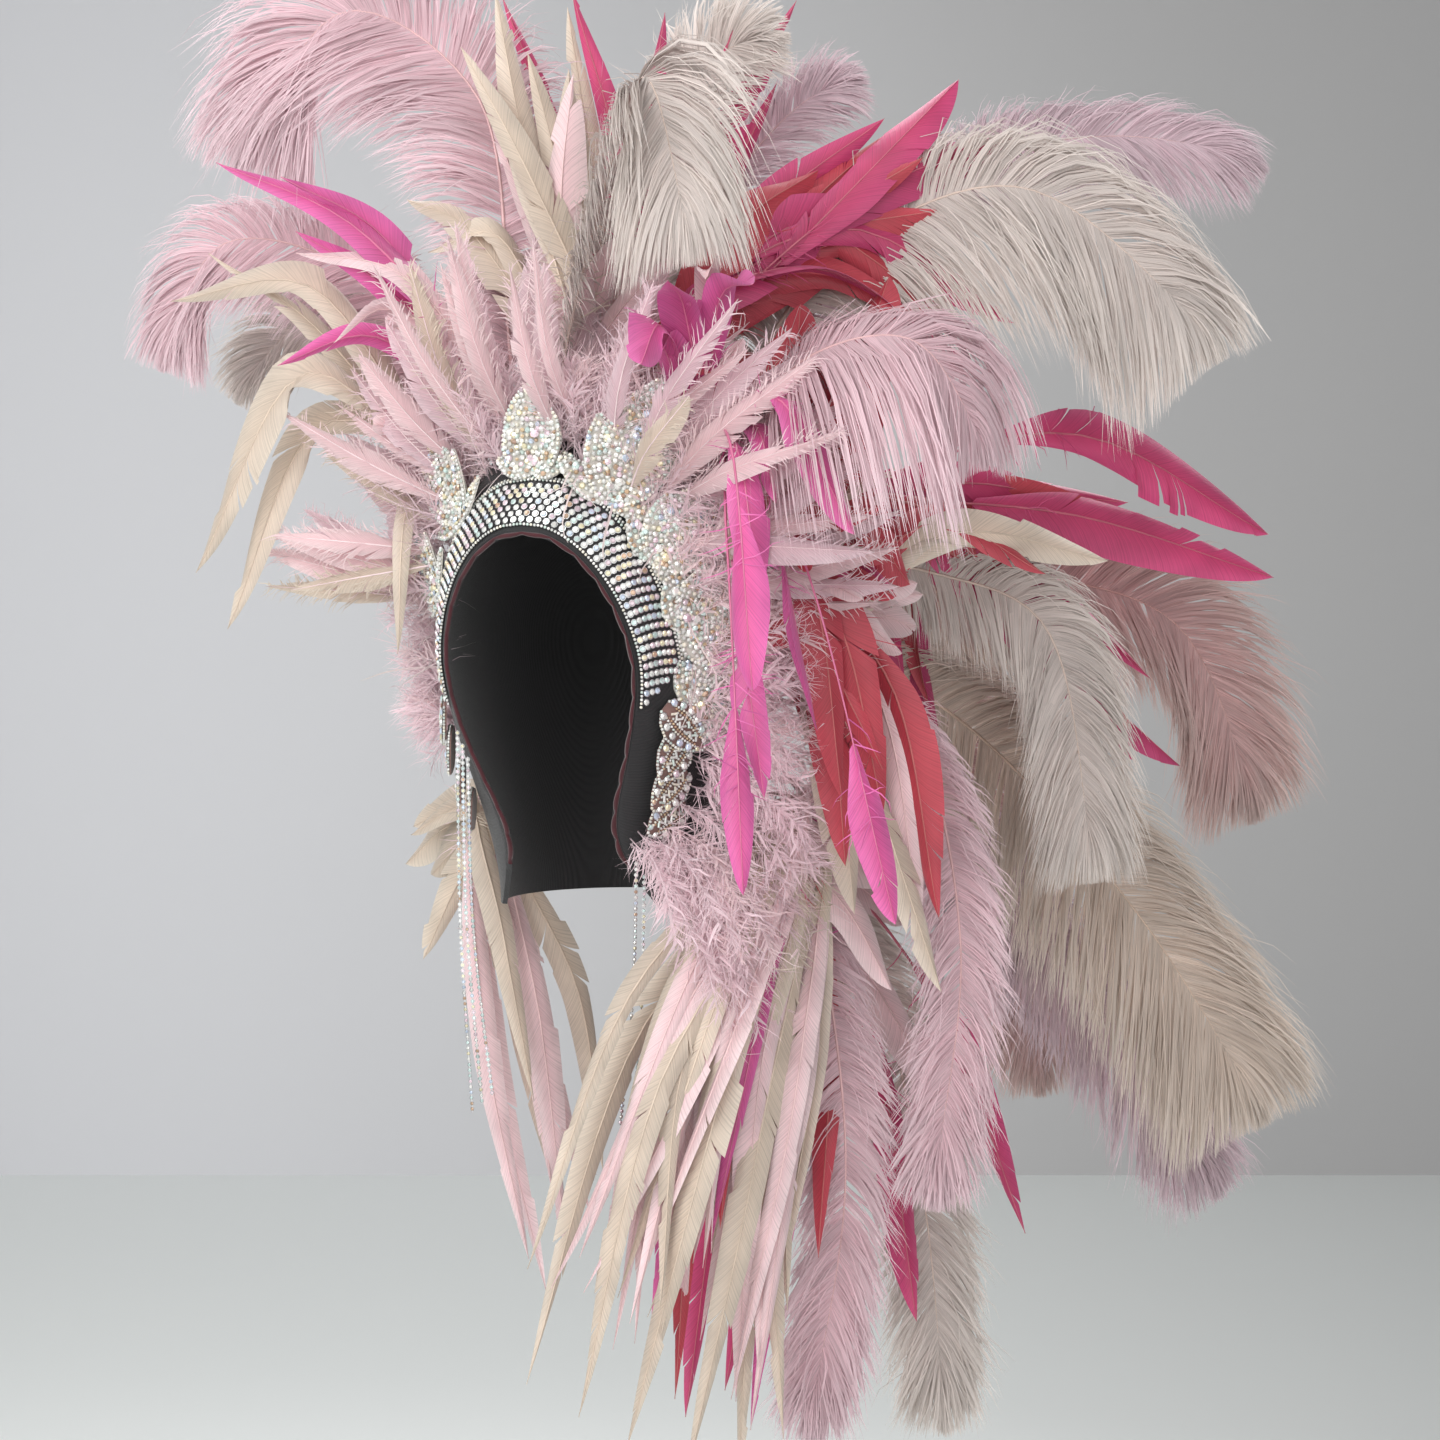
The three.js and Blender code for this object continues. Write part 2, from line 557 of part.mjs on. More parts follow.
// Sewn pad that carries the quills of a fan
function padForm([bearing, z], grow) {
  const reach = PAD.spread + grow;
  const centre = hoodPoint(bearing, z, 0);
  const out = hoodNormal(centre);
  const across = new THREE.Vector3().crossVectors(out, new THREE.Vector3(0, 0.3, 1)).normalize();
  const along = new THREE.Vector3().crossVectors(out, across);
  const ring = (size, lift) => Array.from({ length: 6 }, (_, at) => centre.clone()
    .addScaledVector(across, size * Math.cos((at * Math.PI) / 3))
    .addScaledVector(along, size * Math.sin((at * Math.PI) / 3))
    .addScaledVector(out, lift));
  return solid(skin([ring(reach, -PAD.sunk), ring(reach, GAP + PAD.thickness / 2 + grow),
    ring(reach * 0.6, GAP + PAD.thickness + grow)]));
}

function fanForm({ seat, blades }, grow) {
  let body = padForm(seat, grow);
  blades.forEach((blade, at) => {
    const share = at / (blades.length - 1) - 0.5;
    const centre = hoodPoint(...seat, GAP);
    const out = hoodNormal(centre);
    const aside = new THREE.Vector3().crossVectors(out, new THREE.Vector3(0, 0.3, 1)).normalize();
    const other = new THREE.Vector3().crossVectors(out, aside)
      .multiplyScalar(at % 2 ? PAD.stagger : -PAD.stagger);
    const start = centre.clone().add(other).addScaledVector(out, 1);
    const root = start.clone().addScaledVector(aside, share * PAD.quillRow);
    const stalk = start.addScaledVector(aside, share * PAD.stalkRow).addScaledVector(out, BLADE.stalk - 1);
    body = body.add(bladeForm(blade, root, stalk, grow));
  });
  return body;
}

function addFeathers() {
  for (const fan of FANS) {
    place(fan.name, fan.tint, (grow) => fanForm(fan, grow), hoodPoint(...fan.seat, GAP));
  }
  const byWidth = [...PLUMES].sort((one, other) => one.width - other.width);
  for (const row of byWidth) {
    place(row.name, row.tint, (grow) => plumeForm(row, grow), hoodPoint(...row.seat, GAP));
  }
}

// Fluffy collar behind the band, in locks that lean back and outward
function addMarabou() {
  for (const [side, sign] of [['left', 1], ['right', -1]]) {
    const form = (grow) => {
      const rings = Array.from({ length: FLUFF.steps + 1 }, (_, step) => {
        const along = sign * mix(FLUFF.start, FLUFF.end, step / FLUFF.steps);
        const lock = Math.abs(Math.sin((step / FLUFF.steps) * Math.PI * FLUFF.locks));
        const reach = 0.72 + 0.28 * lock;
        return [
          rowPoint(along, FLUFF.back - grow, GAP - grow),
          rowPoint(along, FLUFF.back + FLUFF.depth + grow, GAP - grow),
          rowPoint(along, FLUFF.back + FLUFF.lean * 0.8, FLUFF.height * 0.5 * reach),
          rowPoint(along, FLUFF.back + FLUFF.lean * reach, FLUFF.height * reach + grow),
          rowPoint(along, FLUFF.back + FLUFF.lean * 0.4, FLUFF.height * 0.55 * reach),
        ];
      });
      return solid(skin(rings));
    };
    place(`marabou_${side}`, 'blush', form);
  }
}

addHood();
addEdge();
closeHood();
addBand();
addLeaves();
addVines();
addStrands();
addFeathers();
addMarabou();

export default headdress;
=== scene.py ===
"""Carnival feather headdress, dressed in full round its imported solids.

The hood, its felt edge, the crystal band, the beaded leaves and vines, the hanging strands,
the marabou collars, the cut feathers and the ostrich plumes each replace their plain solid.
Tables are in millimetres in the solids' own frame, and meshes are in metres.
"""
from __future__ import annotations

import json
import logging
import math
from contextlib import contextmanager
from dataclasses import dataclass, field, replace
from enum import Enum
from typing import Callable, ClassVar, Iterator, Sequence

import bpy
import numpy as np
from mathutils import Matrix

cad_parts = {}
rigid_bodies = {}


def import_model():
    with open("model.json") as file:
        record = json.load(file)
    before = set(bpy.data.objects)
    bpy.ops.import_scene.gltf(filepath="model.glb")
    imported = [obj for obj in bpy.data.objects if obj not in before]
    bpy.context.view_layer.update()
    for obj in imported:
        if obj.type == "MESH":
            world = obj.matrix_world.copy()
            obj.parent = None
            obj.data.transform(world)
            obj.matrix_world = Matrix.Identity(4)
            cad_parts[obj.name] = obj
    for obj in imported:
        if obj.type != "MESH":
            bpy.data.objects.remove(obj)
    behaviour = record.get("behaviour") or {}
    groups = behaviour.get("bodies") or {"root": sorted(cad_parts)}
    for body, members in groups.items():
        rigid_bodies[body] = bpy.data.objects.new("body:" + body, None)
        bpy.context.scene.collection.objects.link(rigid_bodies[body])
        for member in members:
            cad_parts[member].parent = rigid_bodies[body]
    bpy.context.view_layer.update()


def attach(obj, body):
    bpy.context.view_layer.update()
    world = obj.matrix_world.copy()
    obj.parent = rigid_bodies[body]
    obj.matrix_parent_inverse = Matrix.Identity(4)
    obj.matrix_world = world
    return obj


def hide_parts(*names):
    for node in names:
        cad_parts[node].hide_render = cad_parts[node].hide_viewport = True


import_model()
LOG = logging.getLogger("headdress")
MM = 0.001
DOWN = np.array([0.0, 0.0, -1.0])
UP = -DOWN
Colour = tuple[float, float, float]


def linear(red: int, green: int, blue: int) -> Colour:
    """Turn a screen colour into the linear one that the shaders take.

    Args:
        red: Red from 0 to 255.
        green: Green from 0 to 255.
        blue: Blue from 0 to 255.

    Returns:
        The linear colour, each part from 0 to 1.
    """
    parts = [part / 255 for part in (red, green, blue)]
    return tuple(p / 12.92 if p <= 0.04045 else ((p + 0.055) / 1.055) ** 2.4 for p in parts)


def unit(vectors: np.ndarray) -> np.ndarray:
    """Return the vectors of an array at length 1."""
    return vectors / np.maximum(np.linalg.norm(vectors, axis=-1, keepdims=True), 1e-9)


def smooth(value: np.ndarray | float, low: float, high: float) -> np.ndarray | float:
    """Ease from 0 at the low value to 1 at the high one."""
    share = np.clip((value - low) / (high - low), 0, 1)
    return share * share * (3 - 2 * share)


def quarter(right: float, near: float, up: float) -> np.ndarray:
    """Turn a place given in the quarter view into the object's own axes.

    Args:
        right: How far to the right in the view.
        near: How far towards the viewer.
        up: How high.

    Returns:
        The place as x, y and z.
    """
    turn = math.radians(Camera.TURN)
    return np.array([
        right * math.cos(turn) + near * math.sin(turn),
        right * math.sin(turn) - near * math.cos(turn),
        up,
    ])


def curve_points(knots: Sequence, runs: np.ndarray) -> np.ndarray:
    """Follow a smooth curve through knots, which eases off where they lie close.

    Args:
        knots: The points that the curve passes.
        runs: Places along it from 0 to 1, in equal parts from knot to knot.

    Returns:
        One point for each place.
    """
    held = np.asarray(knots, float)
    spans = len(held) - 1
    place = np.clip(runs, 0, 1) * spans
    first = np.minimum(place.astype(int), spans - 1)
    w = (place - first)[:, None]
    row = np.vstack([2 * held[0] - held[1], held, 2 * held[-1] - held[-2]])
    p0, p1, p2, p3 = (row[first + step] for step in range(4))
    d0, d1, d2 = (np.sqrt(np.linalg.norm(b - a, axis=1, keepdims=True))
                  for a, b in ((p0, p1), (p1, p2), (p2, p3)))
    t1 = ((p1 - p0) / d0 - (p2 - p0) / (d0 + d1) + (p2 - p1) / d1) * d1
    t2 = ((p2 - p1) / d1 - (p3 - p1) / (d1 + d2) + (p3 - p2) / d2) * d1
    c2, c3 = -3 * p1 + 3 * p2 - 2 * t1 - t2, 2 * p1 - 2 * p2 + t1 + t2
    return p1 + t1 * w + c2 * w * w + c3 * w ** 3


class Line:
    """A line of points that is followed by its length."""

    def __init__(self, points: np.ndarray) -> None:
        """Keep the points and how far along each lies.

        Args:
            points: The points in order.
        """
        self.points = points
        steps = np.linalg.norm(np.diff(points, axis=0), axis=1)
        self.reach = np.concatenate([[0], np.cumsum(steps)])
        self.length = float(self.reach[-1])

    def at(self, runs: np.ndarray) -> np.ndarray:
        """Return the points at shares of the length from 0 to 1."""
        place = np.clip(runs, 0, 1) * self.length
        return np.stack([np.interp(place, self.reach, self.points[:, axis]) for axis in range(3)], -1)


@dataclass(frozen=True)
class HoodShape:
    """The outer form of the hood and the rows that follow its face opening.

    Attributes:
        half_width: Half the width at the ears.
        half_depth: Half the depth at the ears.
        height: From the ears to the crown.
        ear: Height of the ears.
        bottom: Height of the lower edge.
        neck: Half width, half depth and backward shift at the lower edge.
        opening: Side profile of the face opening as y and z.
        rows: Rows behind the opening that are worked out so far, by their distance.
        ROW: Steps of such a row.
    """

    half_width: float = 76
    half_depth: float = 96
    height: float = 120
    ear: float = -118
    bottom: float = -250
    neck: tuple[float, float, float] = (60, 64, 18)
    opening: tuple = ((-112, 0), (-90, -50), (-79, -88), (-70, -123), (-61, -165), (-47, -210), (-22, -252))
    rows: dict = field(default_factory=dict)
    ROW: ClassVar[int] = 600

    def at(self, z: np.ndarray) -> tuple[np.ndarray, np.ndarray, np.ndarray]:
        """Give the half width, half depth and backward shift at each height."""
        z = np.asarray(z, float)
        round_off = np.sqrt(1 - np.clip((z - self.ear) / self.height, 0, 1) ** 2)
        fall = smooth(self.ear - z, 0, self.ear - self.bottom)
        above = z > self.ear
        wide = np.where(above, self.half_width * round_off,
                        self.half_width + (self.neck[0] - self.half_width) * fall)
        deep = np.where(above, self.half_depth * round_off,
                        self.half_depth + (self.neck[1] - self.half_depth) * fall)
        return wide, deep, np.where(above, 0, self.neck[2] * fall)

    def normal(self, points: np.ndarray) -> np.ndarray:
        """Give the direction out of the hood at points on it."""
        _, _, shift = self.at(points[..., 2])
        up = np.maximum(0, points[..., 2] - self.ear) / self.height ** 2
        return unit(np.stack([points[..., 0] / self.half_width ** 2,
                              (points[..., 1] - shift) / self.half_depth ** 2, up], -1))

    def point(self, bearing: float, z: float, lift: float) -> np.ndarray:
        """Give a point on the hood.

        Args:
            bearing: Degrees round it, 0 at the face and 90 at the wearer's left.
            z: Height.
            lift: How far out of the hood.

        Returns:
            The point.
        """
        wide, deep, shift = self.at(z)
        angle = np.radians(bearing)
        place = np.stack([wide * np.sin(angle), shift - deep * np.cos(angle), np.asarray(z, float)], -1)
        return place + self.normal(place) * np.asarray(lift)[..., None]

    def row(self, back: int) -> np.ndarray:
        """Give evenly spaced points of the half row at a distance behind the opening."""
        if back not in self.rows:
            runs, knots = np.linspace(0, 1, 241), [(0, y, z) for y, z in self.opening]
            here, ahead, behind = (curve_points(knots, np.clip(runs + step, 0, 1)) for step in (0, 1e-4,
                                                                                                -1e-4))
            along = unit(ahead - behind)
            y, z = here[:, 1] - along[:, 2] * back, here[:, 2] + along[:, 1] * back
            wide, deep, shift = self.at(z)
            side = 1 - ((y - shift) / np.maximum(deep, 1e-6)) ** 2
            kept = side > 0
            points = np.stack([wide * np.sqrt(np.maximum(side, 0)), y, z], -1)[kept]
            points[0, 0] = 0
            self.rows[back] = Line(points).at(np.linspace(0, 1, self.ROW + 1))
        return self.rows[back]

    def along_row(self, along: np.ndarray, back: np.ndarray, lift: np.ndarray) -> np.ndarray:
        """Give points on rows that follow the face opening.

        Args:
            along: Place along the row, 0 at the forehead and 1 or -1 at its ends.
            back: Distance behind the opening.
            lift: How far out of the hood.

        Returns:
            One point for each place.
        """
        along, back, lift = np.broadcast_arrays(*(np.asarray(v, float) for v in (along, back, lift)))
        below = np.floor(back).astype(int)
        place = np.clip(np.abs(along), 0, 1) * self.ROW
        first = np.minimum(place.astype(int), self.ROW - 1)
        rest = (place - first)[..., None]
        table = {level: self.row(level) for level in range(below.min(), below.max() + 2)}
        low, high = np.zeros(along.shape + (3,)), np.zeros(along.shape + (3,))
        for level in np.unique(below):
            here = below == level
            for store, row in ((low, table[level]), (high, table[level + 1])):
                store[here] = (row[first] * (1 - rest) + row[first + 1] * rest)[here]
        share = (back - below)[..., None]
        points = low * (1 - share) + high * share
        points[..., 0] *= np.where(along < 0, -1, 1)
        return points + self.normal(points) * lift[..., None]


HOOD = HoodShape()


class Quill:
    """A quill's line with the directions across and out of its vane."""

    STEPS: ClassVar[int] = 160

    def __init__(self, knots: Sequence[np.ndarray], face: np.ndarray) -> None:
        """Work out the line and carry its frame along it.

        Args:
            knots: The points that the quill passes, from its root to its tip.
            face: The way in which the outer side looks at the widest part.
        """
        rough = Line(curve_points(knots, np.linspace(0, 1, 400)))
        self.runs = np.linspace(0, 1, self.STEPS + 1)
        self.points = rough.at(self.runs)
        self.length = rough.length
        self.along = unit(np.gradient(self.points, axis=0))
        widest = round(self.STEPS * 0.65)
        start = self.along[widest]
        look = face if abs(start @ face) < 0.85 else np.array([0, 0, 1.0])
        self.across = np.zeros_like(self.points)
        self.across[widest] = unit(np.cross(start, look))
        for here, step in [(w, -1) for w in range(widest, 0, -1)] + [(w, 1) for w in range(widest,
                                                                                           self.STEPS)]:
            tangent = self.along[here + step]
            carried = self.across[here] - tangent * (tangent @ self.across[here])
            self.across[here + step] = unit(carried)
        self.out = np.cross(self.across, self.along)

    def read(self, runs: np.ndarray) -> tuple[np.ndarray, np.ndarray, np.ndarray, np.ndarray]:
        """Give the points and the directions along, across and out at shares of the length."""
        mixed = [np.stack([np.interp(runs, self.runs, held[:, axis]) for axis in range(3)], -1)
                 for held in (self.points, self.along, self.across, self.out)]
        return mixed[0], unit(mixed[1]), unit(mixed[2]), unit(mixed[3])


def grid(rows: int, columns: int, closed: bool = True) -> np.ndarray:
    """Give the corners of the faces between rows of points.

    Args:
        rows: Number of rows.
        columns: Points in a row.
        closed: True where the last point of a row joins its first.

    Returns:
        Four corner numbers for each face.
    """
    row, column = np.meshgrid(np.arange(rows - 1), np.arange(columns - (not closed)), indexing="ij")
    here, ahead = row * columns + column, row * columns + (column + 1) % columns
    return np.stack([here, ahead, ahead + columns, here + columns], -1)


class Heap:
    """Vertices, faces and dye of one piece, gathered part by part, with its own source of chance."""

    def __init__(self, seed: int = 0) -> None:
        """Start empty.

        Args:
            seed: Seed of the piece's chance.
        """
        self.rng = np.random.default_rng(seed)
        self.points: list[np.ndarray] = []
        self.faces: list[np.ndarray] = []
        self.slots: list[np.ndarray] = []
        self.dye: list[np.ndarray] = []
        self.strand: list[np.ndarray] = []
        self.count = 0

    def add(self, points: np.ndarray, faces: np.ndarray, dye: np.ndarray, slot: int = 0,
            strand: np.ndarray | float = 0.0) -> None:
        """Add a part.

        Args:
            points: Vertices in millimetres.
            faces: Corner numbers, three or four to a face.
            dye: One colour for all, or one for each vertex.
            slot: Which of the piece's materials it takes.
            strand: Distance across the barbs at each vertex, for the lines between them.
        """
        points = points.reshape(-1, 3)
        self.points.append(points)
        self.faces.append(faces.reshape(-1, faces.shape[-1]) + self.count)
        self.slots.append(np.full(len(self.faces[-1]), slot))
        self.dye.append(np.broadcast_to(np.asarray(dye, float), (len(points), 3)))
        self.strand.append(np.broadcast_to(np.asarray(strand, float), (len(points),)))
        self.count += len(points)

    def add_bar(self, rings: np.ndarray, dye: Colour, slot: int = 0, turned: bool = False) -> None:
        """Add a closed bar, whose rings are each a row of points on top and one back underneath.

        Args:
            rings: The rings in order.
            dye: Its colour.
            slot: Which of the piece's materials it takes.
            turned: True where the rings run the other way round.
        """
        count, around = rings.shape[:2]
        sides = grid(count, around)
        self.add(rings, sides[..., [0, 3, 2, 1]] if turned else sides, dye, slot)
        half = np.arange(around // 2 - 1)
        first = np.stack([half, half + 1, around - 2 - half, around - 1 - half], -1)
        last = first[:, ::-1] + (count - 1) * around
        self.close(np.concatenate([first, last]), count * around, slot)

    def close(self, faces: np.ndarray, count: int, slot: int) -> None:
        """Add faces between the points that were added last.

        Args:
            faces: Corner numbers, counted from the first of those points.
            count: How many points those are.
            slot: Which of the piece's materials they take.
        """
        self.faces.append(faces + self.count - count)
        self.slots.append(np.full(len(faces), slot))

    def build(self, node: str, part: str, slot: str, finishes: Sequence[Finish],
              rounded: bool = True) -> bpy.types.Object:
        """Make the piece and set it in the place of its plain solid.

        Args:
            node: The solid that it replaces.
            part: What the piece is made of, for its name.
            slot: Name of a finish in the record; not used.
            finishes: Its finishes in the order of the slots.
            rounded: True for smooth shading.

        Returns:
            The dressed piece.
        """
        sizes = np.concatenate([np.full(len(f), f.shape[1]) for f in self.faces])
        corners = np.concatenate([f.ravel() for f in self.faces])
        name = f"{node}_{part}"
        mesh = bpy.data.meshes.new(name)
        mesh.vertices.add(self.count)
        mesh.vertices.foreach_set("co", (np.concatenate(self.points) * MM).ravel())
        mesh.loops.add(len(corners))
        mesh.loops.foreach_set("vertex_index", corners)
        mesh.polygons.add(len(sizes))
        mesh.polygons.foreach_set("loop_start", np.concatenate([[0], np.cumsum(sizes)[:-1]]))
        mesh.polygons.foreach_set("material_index", np.concatenate(self.slots))
        mesh.update(calc_edges=True)
        mesh.validate()
        layer = mesh.attributes.new("dye", "FLOAT_COLOR", "POINT")
        dye = np.ones((self.count, 4))
        dye[:, :3] = np.concatenate(self.dye)
        layer.data.foreach_set("color", dye.ravel())
        layer = mesh.attributes.new("strand", "FLOAT", "POINT")
        layer.data.foreach_set("value", np.concatenate(self.strand))
        mesh.polygons.foreach_set("use_smooth", np.full(len(mesh.polygons), rounded))
        for finish in finishes:
            mesh.materials.append(finish.build())
        piece = bpy.data.objects.new(name, mesh)
        bpy.context.scene.collection.objects.link(piece)
        dress(piece, node)
        return piece


def tube(heap: Heap, path: np.ndarray, radii: np.ndarray, dye: Colour, sides: int = 5, slot: int = 0) -> None:
    """Add a closed tube along a path.

    Args:
        heap: Where it goes.
        path: The middle line.
        radii: Radius at each of its points.
        dye: Its colour.
        sides: Number of sides.
        slot: Material slot.
    """
    along = unit(np.gradient(path, axis=0))
    aside = unit(np.cross(along, np.where(np.abs(along[:, 2:]) < 0.9, [[0, 0, 1.0]], [[1.0, 0, 0]])))
    for here in range(1, len(path)):
        aside[here] = unit(aside[here - 1] - along[here] * (along[here] @ aside[here - 1]))
    other = np.cross(along, aside)
    angles = np.linspace(0, 2 * math.pi, sides, endpoint=False)
    ring = (np.cos(angles)[None, :, None] * aside[:, None] + np.sin(angles)[None, :, None] * other[:, None])
    points = path[:, None] + ring * radii[:, None, None]
    count = len(path)
    everything = np.vstack([points.reshape(-1, 3), path[:1], path[-1:]])
    heap.add(everything, grid(count, sides), dye, slot)
    start, last = count * sides, (count - 1) * sides
    rim = np.arange(sides)
    turned = (rim + 1) % sides
    caps = np.concatenate([np.stack([np.full(sides, start), turned, rim], -1),
                           np.stack([np.full(sides, start + 1), last + rim, last + turned], -1)])
    heap.close(caps, len(everything), slot)


@dataclass(frozen=True)
class Growth:
    """How the barbs of a kind of feather grow.

    Attributes:
        segments: Straight parts of a barb.
        width: Width of a barb at its root.
        taper: Share of the width that is left at the tip.
        sag: How strongly it hangs down towards its tip.
        wander: How much it waves.
        clump: How many barbs cling together.
        cling: How much a clump leans aside as one.
        stray: How much each barb leans by itself.
    """

    segments: int = 7
    width: float = 1.3
    taper: float = 0.35
    sag: float = 0.5
    wander: float = 0.25
    clump: int = 7
    cling: float = 0.12
    stray: float = 0.06

    def grow(self, heap: Heap, roots: np.ndarray, heading: np.ndarray,
             facing: np.ndarray, lengths: np.ndarray, bend: np.ndarray, dye: np.ndarray,
             tip_dye: np.ndarray) -> None:
        """Grow one ribbon from each root.

        Args:
            heap: Where the ribbons go.
            roots: Where the barbs start.
            heading: The way in which each sets out.
            facing: The way in which its flat side looks.
            lengths: How long each is.
            bend: What its heading gains by its tip.
            dye: Colour of each at its root.
            tip_dye: Colour of each at its tip.
        """
        rng = heap.rng
        count, steps = len(roots), self.segments
        group = np.arange(count) // self.clump
        shared = rng.normal(0, self.cling, (group[-1] + 1, 3))[group] if count else np.zeros((0, 3))
        lean = shared + rng.normal(0, self.stray, (count, 3))
        wave = rng.normal(0, self.wander, (count, 3))
        phase, pace = rng.uniform(0, 6.28, (count, 1)), rng.uniform(0.6, 1.3, (count, 1))
        middle = (np.arange(steps) + 0.5) / steps
        u = middle[None, :, None]
        headings = unit(heading[:, None] + lean[:, None] * u * 1.6 + bend[:, None] * u ** 1.2
                        + DOWN * self.sag * u ** 1.5
                        + wave[:, None] * u * np.sin(6.28 * u * pace[:, None] + phase[:, None]))
        strides = headings * (lengths / steps)[:, None, None]
        places = np.concatenate([roots[:, None], roots[:, None] + np.cumsum(strides, 1)], 1)
        tangents = unit(np.gradient(places, axis=1))
        looks = facing[:, None] + rng.normal(0, 0.22, (count, 1, 3)) * np.linspace(0, 1.6, steps + 1)[None, :,
                                                                                                      None]
        aside = unit(np.cross(tangents, looks))
        run = np.linspace(0, 1, steps + 1)
        half = 0.5 * self.width * (0.75 + 0.25 * np.sin(run * 3.14)) * (1 - (1 - self.taper) * run ** 1.5)
        half[-1] *= 0.3
        widths = half[None, :, None] * rng.uniform(0.8, 1.2, (count, 1, 1))
        points = np.stack([places - aside * widths, places + aside * widths], 2)
        barb, step = np.meshgrid(np.arange(count), np.arange(steps), indexing="ij")
        base = barb * (steps + 1) * 2 + step * 2
        quads = np.stack([base, base + 1, base + 3, base + 2], -1)
        share = run[None, :, None, None] ** 1.3
        shade = rng.normal(1, 0.05, (count, 1, 1, 1))
        colour = (dye[:, None, None] * (1 - share) + tip_dye[:, None, None] * share) * shade
        colour = np.broadcast_to(colour, (count, steps + 1, 2, 3)).reshape(-1, 3)
        strand = np.arange(count)[:, None, None] * 7.3 + np.array([0, self.width])
        strand = np.broadcast_to(strand, (count, steps + 1, 2)).ravel()
        heap.add(points, quads, np.clip(colour, 0, 1), 0, strand)


class Tint(Enum):
    """Dyes of the feathers, as the colours at the root and at the tip of a barb."""

    BLUSH = (linear(226, 192, 200), linear(234, 212, 218))
    IVORY = (linear(216, 204, 198), linear(228, 220, 214))
    MAUVE = (linear(216, 190, 199), linear(214, 196, 202))
    DUSTY = (linear(212, 174, 172), linear(206, 186, 180))
    CREAM = (linear(216, 198, 184), linear(220, 208, 198))
    # HOT_PINK and MAGENTA are one hot pink dye in two copies. The first is darker and redder, as painted
    # shade. The second is lighter and bluer, as painted light on the front feathers.
    HOT_PINK = (linear(192, 58, 104), linear(206, 78, 128))
    MAGENTA = (linear(206, 80, 142), linear(218, 106, 170))
    CORAL = (linear(186, 60, 74), linear(200, 78, 92))
    SAND = (linear(210, 192, 174), linear(218, 206, 191))
    PETAL = (linear(232, 196, 200), linear(236, 214, 216))

    @property
    def root(self) -> np.ndarray:
        """Give the colour near the quill."""
        return np.array(self.value[0])

    @property
    def tip(self) -> np.ndarray:
        """Give the colour at the barbs' tips."""
        return np.array(self.value[1])


class Nodes:
    """Short ways to lay out a material's nodes."""

    def __init__(self, tree: bpy.types.NodeTree) -> None:
        """Hold the tree to fill."""
        self.tree = tree

    def add(self, kind: str, **values: object) -> bpy.types.Node:
        """Add a node and set its options.

        Args:
            kind: Type name of the node.
            **values: Options of the node by name.

        Returns:
            The node.
        """
        node = self.tree.nodes.new(kind)
        for name, value in values.items():
            setattr(node, name, value)
        return node

    def link(self, source: bpy.types.NodeSocket, target: bpy.types.NodeSocket) -> None:
        """Join two sockets."""
        self.tree.links.new(source, target)

    def grey(self, value: bpy.types.NodeSocket) -> bpy.types.NodeSocket:
        """Turn a brightness into a grey colour."""
        node = self.add("ShaderNodeCombineColor")
        for channel in ("Red", "Green", "Blue"):
            self.link(value, node.inputs[channel])
        return node.outputs["Color"]

    def remap(self, value: bpy.types.NodeSocket, low: float, high: float, **values: object) -> bpy.types.Node:
        """Spread the values between two limits over the whole range.

        Args:
            value: Socket of the value.
            low: Lower limit.
            high: Upper limit.
            **values: Options of the node by name.

        Returns:
            The node that does it.
        """
        node = self.add("ShaderNodeMapRange", **values)
        self.link(value, node.inputs["Value"])
        node.inputs["From Min"].default_value = low
        node.inputs["From Max"].default_value = high
        return node

    def mix(self, blend: str, factor: object, one: object, other: object) -> bpy.types.NodeSocket:
        """Mix two colours.

        Args:
            blend: Name of the way of mixing.
            factor: How much of the other, as a number or a socket.
            one: First colour or socket.
            other: Second colour or socket.

        Returns:
            The mixed colour's socket.
        """
        node = self.add("ShaderNodeMix", data_type="RGBA", blend_type=blend)
        for socket, value in ((node.inputs[0], factor), (node.inputs[6], one), (node.inputs[7], other)):
            if isinstance(value, bpy.types.NodeSocket):
                self.link(value, socket)
            else:
                socket.default_value = value if isinstance(value, float) else (*value, 1.0)
        return node.outputs[2]


